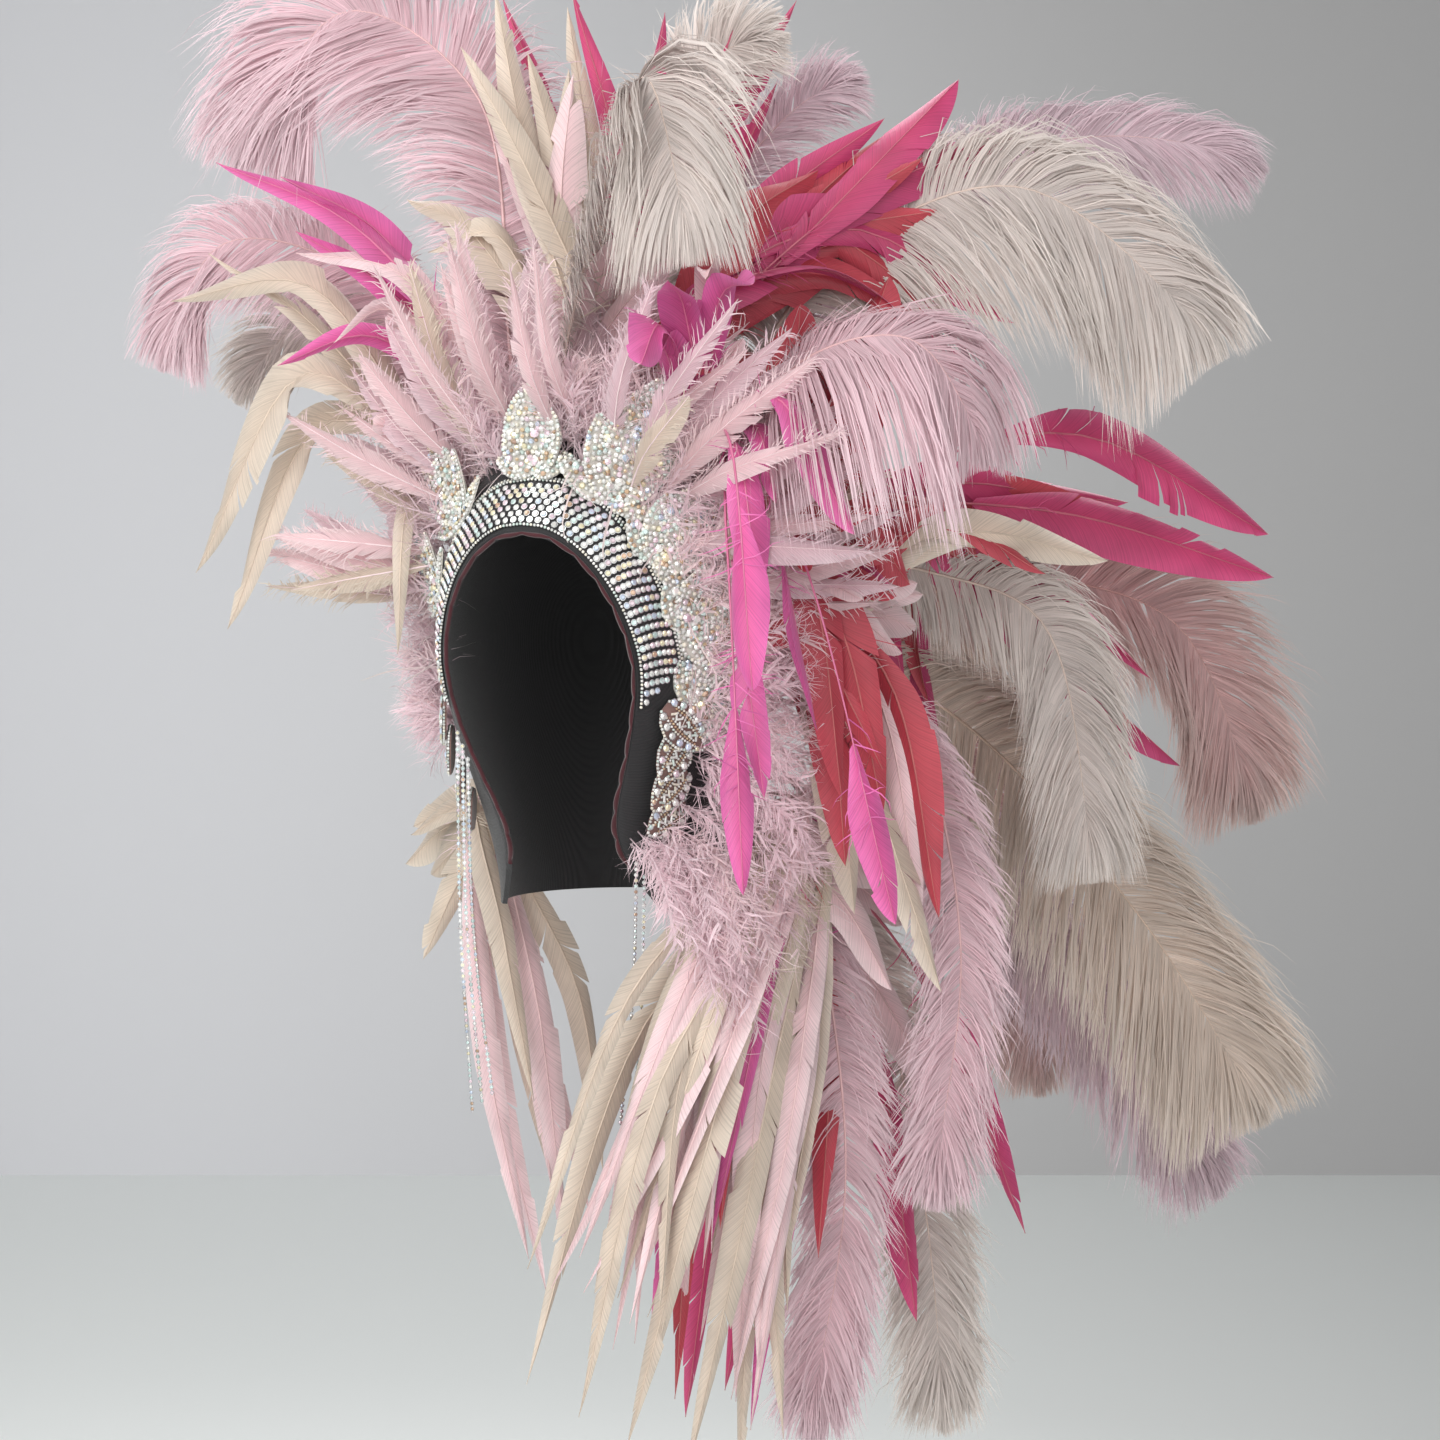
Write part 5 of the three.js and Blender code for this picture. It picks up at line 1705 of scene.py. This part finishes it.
@dataclass
class CrystalBand:
    """The woven band of small stones round the face.

    Attributes:
        kit: Small shapes to copy.
        start: Its near edge behind the opening.
        width: Its width.
        end: How far it runs along the row on each side.
        pitch: From one stone to the next across the band.
        STONE: Radius of a stone.
        CUP: Radius of its cup.
        SEED: Radius of a bead of the rims, and from one to the next.
        RIMS: Place across and lift of each row of beads.
    """

    kit: BeadKit
    start: float = 1.0
    width: float = 20.0
    end: float = 0.5
    pitch: float = 4.4
    STONE: ClassVar[float] = 1.58
    CUP: ClassVar[float] = 1.6
    SEED: ClassVar[tuple[float, float]] = (0.82, 1.9)
    RIMS: ClassVar[tuple] = ((19.2, 1.6), (17.8, 1.9), (0.2, 1.5))

    def spaced(self, pitch: float) -> np.ndarray:
        """Give places along the row that lie evenly apart."""
        fine = np.linspace(-self.end * 0.99, self.end * 0.99, 800)
        steps = np.linalg.norm(np.diff(HOOD.along_row(fine, 11, 1.0), axis=0), axis=1)
        run = np.concatenate([[0], np.cumsum(steps)])
        return np.interp(np.linspace(0, run[-1], round(run[-1] / pitch)), run, fine)

    def build(self, seed: int) -> bpy.types.Object:
        """Model the mesh, the stones in their cups and the beaded rims.

        Args:
            seed: Seed for the stones' colours.

        Returns:
            The dressed piece.
        """
        heap = Heap(seed)
        rng = heap.rng
        along = np.linspace(-self.end, self.end, 240)
        near = np.full(len(along), self.start)
        strip(heap, along, near, near + self.width, 0.6, 1.2, linear(58, 56, 58), columns=9)
        spot = self.spaced(self.pitch / 2)
        places, backs = [], []
        for at, value in enumerate(spot):
            first = self.start + 2.0 + (self.pitch / 2 if at % 2 else 0)
            columns = np.arange(first, self.start + self.width - 3.2, self.pitch)
            places.append(np.full(len(columns), value))
            backs.append(columns)
        self.set_stones(heap, np.concatenate(places), np.concatenate(backs))
        size, apart = self.SEED
        rim = self.spaced(apart)
        for offset, lift in self.RIMS:
            points = HOOD.along_row(rim, self.start + offset, lift)
            self.kit.scatter(heap, "seed", points, HOOD.normal(points), UP, size, SILVER.pick(rng, len(rim)),
                             3)
        return heap.build("crystal_band", "stones", "crystal_mesh", (MESH, STONE, CUP, PEARL), False)

    def set_stones(self, heap: Heap, along: np.ndarray, back: np.ndarray) -> None:
        """Set a stone and its cup at each place.

        Args:
            heap: Where they go.
            along: Places along the row.
            back: Places behind the opening.
        """
        rng = heap.rng
        count = len(along)
        points = HOOD.along_row(along, back, 1.75)
        out = unit(HOOD.normal(points) + rng.normal(0, 0.05, (count, 3)))
        aside = unit(rng.normal(0, 1, (count, 3)))
        self.kit.scatter(heap, "cup", points, out, aside, self.CUP, PLATED, 2)
        self.kit.scatter(heap, "stone", points, out, aside, self.STONE, AURORA.pick(rng, count), 1)


@dataclass
class BeadedLeaf:
    """A leaf of felt that is covered with beads and stones.

    Attributes:
        name: Name of the solid that it replaces.
        along: Place of its root along the face opening.
        back: How far behind the opening its root lies.
        length: Its length.
        width: Its width.
        turn: How far it is turned on the hood.
        flare: How far it stands up from the hood.
        lift: How far its root lies above the hood.
    """

    name: str
    along: float
    back: float
    length: float
    width: float
    turn: float
    flare: float = 0
    lift: float = 0.35
    OUTLINE: ClassVar[tuple] = ((0, 0.12, 0.35, 0.6, 0.82, 1), (0.3, 0.72, 1, 0.92, 0.56, 0.06))

    def half(self, run: np.ndarray) -> np.ndarray:
        """Give half its width at shares of its length."""
        return self.width / 2 * np.interp(run, *self.OUTLINE)

    def axes(self) -> tuple[np.ndarray, np.ndarray]:
        """Give its root, and its axes across, along and out."""
        root = HOOD.along_row(self.along, self.back, self.lift)
        out = HOOD.normal(root)
        away = unit(HOOD.along_row(self.along, self.back + 4, self.lift) - root)
        across = unit(np.cross(away, out))
        frame_axes = np.stack([across, np.cross(out, across), out])
        turn, flare = math.radians(self.turn), math.radians(self.flare)
        spin = np.array([[math.cos(turn), math.sin(turn), 0], [-math.sin(turn), math.cos(turn), 0],
                         [0, 0, 1]])
        tilt = np.array([[1, 0, 0], [0, math.cos(flare), math.sin(flare)],
                         [0, -math.sin(flare), math.cos(flare)]])
        return root, tilt @ spin @ frame_axes

    def dome(self, x: np.ndarray, run: np.ndarray) -> np.ndarray:
        """Give the height of its upper side."""
        half = np.maximum(self.half(run), 0.5)
        share = np.interp(run, *self.OUTLINE)
        return 1.3 + 1.6 * share * (1 - np.clip(np.abs(x) / half, 0, 1) ** 2)

    def place(self, x: np.ndarray, run: np.ndarray, extra: float = 0.0) -> np.ndarray:
        """Give points on its upper side by distance across and share of length."""
        root, axes = self.axes()
        local = np.stack([x, run * self.length, self.dome(x, run) + extra], -1)
        return root + local @ axes

    def add_felt(self, heap: Heap, dye: Colour) -> None:
        """Add the felt under the beads.

        Args:
            heap: Where it goes.
            dye: Colour of the felt.
        """
        root, axes = self.axes()
        run, across = np.linspace(0, 1, 22), np.linspace(-1, 1, 9)
        x = self.half(run)[:, None] * across[None]
        y = np.broadcast_to((run * self.length)[:, None], x.shape)
        top = np.stack([x, y, self.dome(x, np.broadcast_to(run[:, None], x.shape)) - 0.5], -1)
        under = np.stack([x, y, np.full_like(x, 0.15)], -1)
        heap.add_bar(root + np.concatenate([top, under[:, ::-1]], 1) @ axes, dye, turned=True)

    def lines(self, share: float, pitch: float, start: float, end: float) -> tuple[np.ndarray, np.ndarray]:
        """Space beads along both edges at a share of the width.

        Args:
            share: Share of half the width.
            pitch: From one bead to the next.
            start: First share of the length.
            end: Last share of the length.

        Returns:
            Distance across and share of the length of each bead.
        """
        fine = np.linspace(start, end, 200)
        edge = Line(np.stack([self.half(fine) * share, fine * self.length, np.zeros(200)], -1))
        count = max(2, int(edge.length / pitch))
        spots = edge.at(np.linspace(0, 1, count))
        x, run = spots[:, 0], spots[:, 1] / self.length
        return np.concatenate([x, -x]), np.concatenate([run, run])


@dataclass
class TiaraLeaf(BeadedLeaf):
    """A leaf of the tiara with four leaflets, packed with fine beads and stones.

    Attributes:
        LEAFLETS: Turn, size, rise and shift of each leaflet.
        PITCH: From one bead to the next.
        FILL: Shape, radius and colours of the beads, after their share of the chance from low to high.
    """

    LEAFLETS: ClassVar[tuple] = ((38, 0.66, 0.8, 0), (-38, 0.66, 0.8, 0), (78, 0.5, 0.2, -1),
                                 (-78, 0.5, 0.2, -1))
    PITCH: ClassVar[float] = 2.7
    FILL: ClassVar[tuple] = ((0, 0.6, "seed", 1.3, SILVER), (0.6, 0.88, "stone", 1.45, AURORA),
                             (0.88, 1, "seed", 1.2, GILT))

    def build(self, kit: BeadKit, seed: int) -> bpy.types.Object:
        """Model the felt and its beads.

        Args:
            kit: Small shapes to copy.
            seed: Seed for the beads' chance.

        Returns:
            The dressed piece.
        """
        heap = Heap(seed)
        self.pack(kit, heap)
        for lean, size, rise, back in self.LEAFLETS:
            leaflet = replace(self, turn=self.turn + lean, back=self.back + back, length=self.length * size,
                              width=self.width * size, flare=self.flare * rise)
            leaflet.pack(kit, heap)
        return heap.build(self.name, "beads", "beaded_leaf", SEWN, False)

    def pack(self, kit: BeadKit, heap: Heap) -> None:
        """Add the felt and pack it with beads.

        Args:
            kit: Small shapes to copy.
            heap: Where they go.
        """
        rng = heap.rng
        self.add_felt(heap, linear(196, 192, 184))
        x, run = self.lines(0.97, 2.0, 0.0, 0.98)
        self.sew(kit, heap, "seed", x, run, 1.05, SILVER)
        rows = [(np.arange(-self.half(r) * 0.84, self.half(r) * 0.84, self.PITCH), r)
                for r in np.arange(0.03, 0.95, self.PITCH / self.length)]
        x, run = (np.concatenate(part) for part in zip(*((row, np.full(len(row), r)) for row, r in rows)))
        x, run = x + rng.normal(0, 0.3, len(x)), run + rng.normal(0, 0.3, len(run)) / self.length
        kind = rng.uniform(0, 1, len(x))
        for low, high, shape, size, sparkle in self.FILL:
            here = (kind >= low) & (kind < high)
            self.sew(kit, heap, shape, x[here], run[here], size, sparkle)
        big = np.linspace(0.16, 0.72, max(2, round(self.length / 16)))
        self.sew(kit, heap, "stone", rng.normal(0, 1.5, len(big)), big, 2.1, AURORA, 0.7)

    def sew(self, kit: BeadKit, heap: Heap, shape: str, x: np.ndarray,
            run: np.ndarray, size: float, sparkle: Sparkle, extra: float = 0.1) -> None:
        """Sew beads of one kind to the leaf.

        Args:
            kit: Small shapes to copy.
            heap: Where they go.
            shape: Which shape.
            x: Distances across.
            run: Shares of the length.
            size: Radius.
            sparkle: Their colours.
            extra: Lift above the felt.
        """
        rng = heap.rng
        count = len(x)
        _, axes = self.axes()
        out = unit(axes[2] + rng.normal(0, 0.28, (count, 3)))
        kit.scatter(heap, shape, self.place(x, run, extra), out, rng.normal(0, 1, (count, 3)),
                    size * rng.uniform(0.85, 1.15, count), sparkle.pick(rng, count),
                    {"seed": 3, "stone": 1}[shape])


@dataclass
class CheekLeaf(BeadedLeaf):
    """A leaf on the cheek, with a border of round stones and a threaded middle.

    Attributes:
        THREADS: Share of the width, start, end, bead radius and colours of each row of beads.
    """

    THREADS: ClassVar[tuple] = ((0.5, 0.12, 0.84, 0.72, SILVER), (0.2, 0.22, 0.74, 0.72, SILVER),
                                (0.35, 0.16, 0.8, 0.68, GILT))

    def build(self, kit: BeadKit, seed: int) -> bpy.types.Object:
        """Model the felt, the border, the threads and the middle.

        Args:
            kit: Small shapes to copy.
            seed: Seed for the beads' chance.

        Returns:
            The dressed piece.
        """
        heap = Heap(seed)
        rng = heap.rng
        self.add_felt(heap, linear(128, 98, 92))
        _, axes = self.axes()
        self.thread(kit, heap, 1.0, 1.6, 0.0, 0.99, 0.1, 0.85, SILVER)
        x, run = self.lines(0.74, 4.1, 0.07, 0.9)
        sizes = np.where(run > 0.8, 1.4, 1.95)
        spots = self.place(x, run, 0.3)
        kit.scatter(heap, "cup", spots, axes[2], axes[0], sizes * 1.03, PLATED, 2)
        kit.scatter(heap, "stone", spots, unit(axes[2] + rng.normal(0, 0.06, (len(x), 3))), axes[0], sizes,
                    AURORA.pick(rng, len(x)), 1)
        for share, start, end, size, sparkle in self.THREADS:
            self.thread(kit, heap, share, 1.5, start, end, 0.2, size, sparkle)
        run = np.arange(0.18, 0.8, 1.9 / self.length)
        x = rng.uniform(-0.2, 0.2, len(run)) * self.half(run)
        slant = unit(axes[0] * np.where(np.arange(len(run)) % 2, 1, -1)[:, None] * 0.9 + axes[1] * 0.8)
        kit.scatter(heap, "bugle", self.place(x, run, 0.4), axes[2], slant, 0.62, SILVER.pick(rng, len(run)),
                    3)
        return heap.build(self.name, "beads", "beaded_leaf", SEWN, False)

    def thread(self, kit: BeadKit, heap: Heap, share: float, pitch: float, start: float, end: float,
               extra: float, size: float, sparkle: Sparkle) -> None:
        """Sew a row of seed beads along both edges.

        Args:
            kit: Small shapes to copy.
            heap: Where they go.
            share: Share of half the width at which it runs.
            pitch: From one bead to the next.
            start: First share of the length.
            end: Last share of the length.
            extra: Lift above the felt.
            size: Radius.
            sparkle: Their colours.
        """
        _, axes = self.axes()
        x, run = self.lines(share, pitch, start, end)
        kit.scatter(heap, "seed", self.place(x, run, extra), axes[2], axes[1], size,
                    sparkle.pick(heap.rng, len(x)), 3)


TIARA = ((-0.36, 44, 28, 8, 32), (-0.2, 50, 30, 4, 40), (0, 42, 31, 0, 48), (0.16, 62, 33, 2, 42),
         (0.3, 50, 32, -6, 34), (0.44, 52, 32, -10, 26), (0.585, 50, 30, -14, 20))
CHEEKS = ((0.545, 11, 30, 22, -86), (0.645, 22, 27, 20, 195), (0.72, 23, 28, 20, 188),
          (0.79, 23, 27, 19, 180))


@dataclass
class BeadedVine:
    """A thin vine of stones and beads behind the cheek leaves.

    Attributes:
        side: Name of the side.
        sign: 1 for the wearer's left and -1 for the right.
        middle: How far it lies behind the opening.
        ROWS: Shape, inset, number, offset, lift, radius, colours and material slot of each row.
    """

    side: str
    sign: int
    middle: float = 43
    ROWS: ClassVar[tuple] = (("seed", 0.002, 34, -2.3, 1.5, 0.9, SILVER, 3),
                             ("seed", 0.002, 34, 2.3, 1.5, 0.9, SILVER, 3),
                             ("stone", 0.008, 17, 0, 1.7, 1.7, AURORA, 1))

    def wave(self, along: np.ndarray) -> np.ndarray:
        """Give its place behind the opening."""
        return self.middle + 2.5 * np.sin(np.abs(along) * 30)

    def build(self, kit: BeadKit, seed: int) -> bpy.types.Object:
        """Model the backing and the beads.

        Args:
            kit: Small shapes to copy.
            seed: Seed for the beads' chance.

        Returns:
            The dressed piece.
        """
        heap = Heap(seed)
        along = self.sign * np.linspace(0.66, 0.9, 90)
        strip(heap, along, self.wave(along) - 2.2, self.wave(along) + 2.2, 0.6, 1.3, linear(150, 140, 132))
        for shape, inset, count, offset, lift, size, sparkle, slot in self.ROWS:
            spots = self.sign * np.linspace(0.66 + inset, 0.9 - inset, count)
            points = HOOD.along_row(spots, self.wave(spots) + offset, lift)
            kit.scatter(heap, shape, points, HOOD.normal(points), UP, size, sparkle.pick(heap.rng, count),
                        slot)
        return heap.build(f"side_vine_{self.side}", "beads", "beaded_leaf", SEWN, False)


@dataclass
class CupChain:
    """A hanging strand of small stones in linked cups.

    Attributes:
        name: Name of the solid that it replaces.
        along: Place of its top along the opening.
        drop: How far it hangs.
        drift_x: How far its end lies across.
        drift_y: How far its end lies forwards or backwards.
        pitch: From one stone to the next.
    """

    name: str
    along: float
    drop: float
    drift_x: float
    drift_y: float
    pitch: float = 2.7
    RADIUS: ClassVar[float] = 1.2

    def build(self, kit: BeadKit, seed: int) -> bpy.types.Object:
        """Model the cups, the stones and the links.

        Args:
            kit: Small shapes to copy.
            seed: Seed for the stones' chance.

        Returns:
            The dressed piece.
        """
        heap = Heap(seed)
        rng = heap.rng
        top = HOOD.along_row(self.along, 1.5, self.RADIUS - 0.2)
        middle = top + np.array([self.drift_x * 0.2, self.drift_y * 0.3, -self.drop / 2])
        end = top + np.array([self.drift_x, self.drift_y, -self.drop])
        path = Line(curve_points([top, middle, end], np.linspace(0, 1, 200)))
        count = int(path.length / self.pitch)
        spots = path.at((np.arange(count) + 0.5) / count)
        along = unit(np.gradient(spots, axis=0))
        turn = np.cumsum(rng.normal(0, 0.09, count))[:, None]
        front = quarter(0.15, 1, 0)
        look = unit(front * np.cos(turn) + np.cross(front, UP) * np.sin(turn))
        tube(heap, path.at(np.linspace(0, 1, 40)), np.full(40, 0.34), PLATED, 5, 1)
        kit.scatter(heap, "cup", spots, look, along, 1.02, PLATED, 1)
        kit.scatter(heap, "stone", spots, look, along, 1.0, AURORA.pick(rng, count), 0)
        return heap.build(self.name, "stones", "cup_chain", (STONE, CUP), False)


CHAINS = (
    CupChain("chain_right_1", -0.555, 186, 10, -4),
    CupChain("chain_right_2", -0.585, 176, 11, -1),
    CupChain("chain_right_3", -0.615, 166, 12, 2),
    CupChain("chain_left_1", 0.85, 128, -6, -6),
    CupChain("chain_left_2", 0.885, 120, -5, -3),
)


@dataclass
class Camera:
    """The camera at the quarter view.

    Attributes:
        target: What it looks at, as right, near and up.
        distance: How far off it stands.
        lens: Its focal length.
    """

    target: tuple[float, float, float] = (57.5, 0, -157.5)
    distance: float = 1400
    lens: float = 70
    TURN: ClassVar[float] = 25
    RISE: ClassVar[float] = 2.5

    def build(self) -> None:
        """Make the camera and aim it."""
        data = bpy.data.cameras.new("camera")
        data.lens, data.sensor_width, data.clip_end = self.lens, 36, 20
        camera = bpy.data.objects.new("camera", data)
        bpy.context.scene.collection.objects.link(camera)
        rise = math.radians(self.RISE)
        right, near, up = self.target
        place = quarter(right, near + self.distance * math.cos(rise), up + self.distance * math.sin(rise))
        camera.location = place * MM
        camera.rotation_euler = (math.radians(90 - self.RISE), 0, math.radians(self.TURN))
        bpy.context.scene.camera = camera


@dataclass
class Studio:
    """Pale floor, grey wall and soft light, far enough off to be seen from behind the object too.

    Attributes:
        floor: Height of the floor.
        wall: How far behind the origin the wall stands, away from the viewer.
        size: Width of the floor and of the wall in metres.
        LIGHTS: Name, place, size, power and colour of each light, with its spread and aim where they differ.
    """

    floor: float = -1010
    wall: float = -3000
    size: float = 24
    LIGHTS: ClassVar[tuple] = (
        ("key", (-900, 1000, 600), 1.3, 19, (1.0, 0.99, 0.975)),
        ("fill", (300, 1500, 150), 2.2, 20, (1.0, 0.99, 0.985)),
        ("top", (-200, 100, 1500), 1.8, 9.5, (1.0, 1.0, 1.0)),
        ("rear", (500, -1300, 800), 1.6, 14, (1.0, 1.0, 1.0), 110),
        ("wash", (-400, -1000, 300), 2.6, 14, (1.0, 1.0, 1.0), 140, (-400, -3000, -560)),
    )

    def build(self) -> None:
        """Lay the floor, stand the wall and hang the lights."""
        bpy.ops.object.select_all(action="DESELECT")
        bpy.ops.mesh.primitive_plane_add(size=self.size, location=(0, 0, self.floor * MM))
        floor = bpy.context.object
        floor.name = "studio_floor"
        # The floor's paint carries a painted light falloff, lighter on the left and darker on the right.
        floor.data.materials.append(self.paint("studio_floor_paint", linear(238, 241, 239),
                                               linear(226, 228, 226), 1.6))
        bpy.ops.mesh.primitive_plane_add(size=self.size)
        wall = bpy.context.object
        wall.name = "studio_wall"
        wall.rotation_euler = (math.radians(90), 0, math.radians(Camera.TURN))
        wall.location = quarter(0, self.wall, 0) * MM
        # The wall's paint carries a painted light falloff, lighter on the left and darker on the right.
        wall.data.materials.append(self.paint("studio_wall_paint", linear(218, 218, 221),
                                              linear(184, 183, 183), 1.0))
        for lamp in self.LIGHTS:
            self.light(*lamp)
        world = bpy.data.worlds.new("studio_air")
        bpy.context.scene.world = world
        world.use_nodes = True
        back = world.node_tree.nodes["Background"]
        back.inputs["Color"].default_value = (0.86, 0.88, 0.9, 1)
        back.inputs["Strength"].default_value = 0.33
        bpy.context.scene.view_settings.view_transform = "Standard"

    def paint(self, name: str, one: Colour, other: Colour, span: float) -> bpy.types.Material:
        """Make a matt paint that changes softly from the left to the right, as painted light falloff: lighter
        on the left towards the key light, darker on the right.

        Args:
            name: Name of the material.
            one: Colour at the left, the painted lit side.
            other: Colour at the right, the painted shaded side.
            span: How far from the middle the change reaches, in metres.

        Returns:
            The material.
        """
        material = bpy.data.materials.new(name)
        material.use_nodes = True
        nodes = Nodes(material.node_tree)
        shader = material.node_tree.nodes["Principled BSDF"]
        shader.inputs["Roughness"].default_value = 0.8
        place = nodes.add("ShaderNodeTexCoord")
        parts = nodes.add("ShaderNodeSeparateXYZ")
        noise = nodes.add("ShaderNodeTexNoise")
        noise.inputs["Scale"].default_value = 1.2
        nodes.link(place.outputs["Object"], noise.inputs["Vector"])
        nodes.link(place.outputs["Object"], parts.inputs["Vector"])
        sway = nodes.add("ShaderNodeMath", operation="MULTIPLY_ADD")
        nodes.link(noise.outputs["Fac"], sway.inputs[0])
        sway.inputs[1].default_value = 0.2
        nodes.link(parts.outputs["X"], sway.inputs[2])
        share = nodes.remap(sway.outputs[0], -span, span, interpolation_type="SMOOTHSTEP")
        # This mix paints the light falloff from the lit left to the shaded right.
        nodes.link(nodes.mix("MIX", share.outputs["Result"], one, other), shader.inputs["Base Color"])
        return material

    def light(self, name: str, place: tuple, size: float, power: float, colour: Colour,
              spread: float = 180, aim: tuple = (57, 0, -150)) -> None:
        """Hang a large soft light.

        Args:
            name: Name of the light.
            place: Where it hangs, as right, near and up.
            size: Its width in metres.
            power: Its power in watts.
            colour: Its colour.
            spread: Angle over which it shines.
            aim: What it looks at, as right, near and up.
        """
        data = bpy.data.lights.new(name, "AREA")
        data.size, data.energy, data.color = size, power, colour
        data.spread = math.radians(spread)
        lamp = bpy.data.objects.new(name, data)
        lamp.visible_camera = False
        bpy.context.scene.collection.objects.link(lamp)
        lamp.location = quarter(*place) * MM
        way = quarter(*aim) * MM - np.array(lamp.location)
        lamp.rotation_euler = (math.atan2(math.hypot(way[0], way[1]), -way[2]), 0,
                               math.atan2(way[1], way[0]) - math.pi / 2)


SEEDS = {"band": 11, "tiara": 20, "cheeks": 40, "vines": 60, "chains": 100, "fans": 200, "plumes": 300}


def main() -> None:
    """Build every sub-assembly in order and report each."""
    logging.basicConfig(level=logging.INFO, format="%(message)s")
    Camera().build()
    Studio().build()
    cap = NetHood()
    hood, felt = cap.build(), FeltEdge().build()
    kit = BeadKit()
    CrystalBand(kit).build(SEEDS["band"])
    for number, (along, length, width, turn, flare) in enumerate(TIARA, 1):
        leaf = TiaraLeaf(f"tiara_leaf_{number}", along, 24, length, width, turn, flare)
        leaf.build(kit, SEEDS["tiara"] + number)
    for side, sign in (("left", 1), ("right", -1)):
        for number, (along, back, length, width, turn) in enumerate(CHEEKS, 1):
            leaf = CheekLeaf(f"side_leaf_{side}_{number}", sign * along, back, length, width, sign * turn, 0,
                             0.95)
            leaf.build(kit, SEEDS["cheeks"] + number + 10 * sign)
        BeadedVine(side, sign).build(kit, SEEDS["vines"] + sign)
    MarabouCollar("left", 1, 178, 0.985, 46, 16, 36).build(81)
    MarabouCollar("right", -1, 92, 0.7, 30, 8).build(79)
    for seed, chain in enumerate(CHAINS, SEEDS["chains"]):
        chain.build(kit, seed)
    for seed, fan in enumerate(FANS, SEEDS["fans"]):
        fan.build(seed)
    for seed, plume in enumerate(PLUMES, SEEDS["plumes"]):
        plume.build(seed)
    total = sum(triangles(piece) for piece in bpy.data.objects
                if piece.type == "MESH" and "dye" in piece.data.attributes)
    LOG.info("all new pieces: %d triangles", total)


if __name__ == "__main__":
    main()
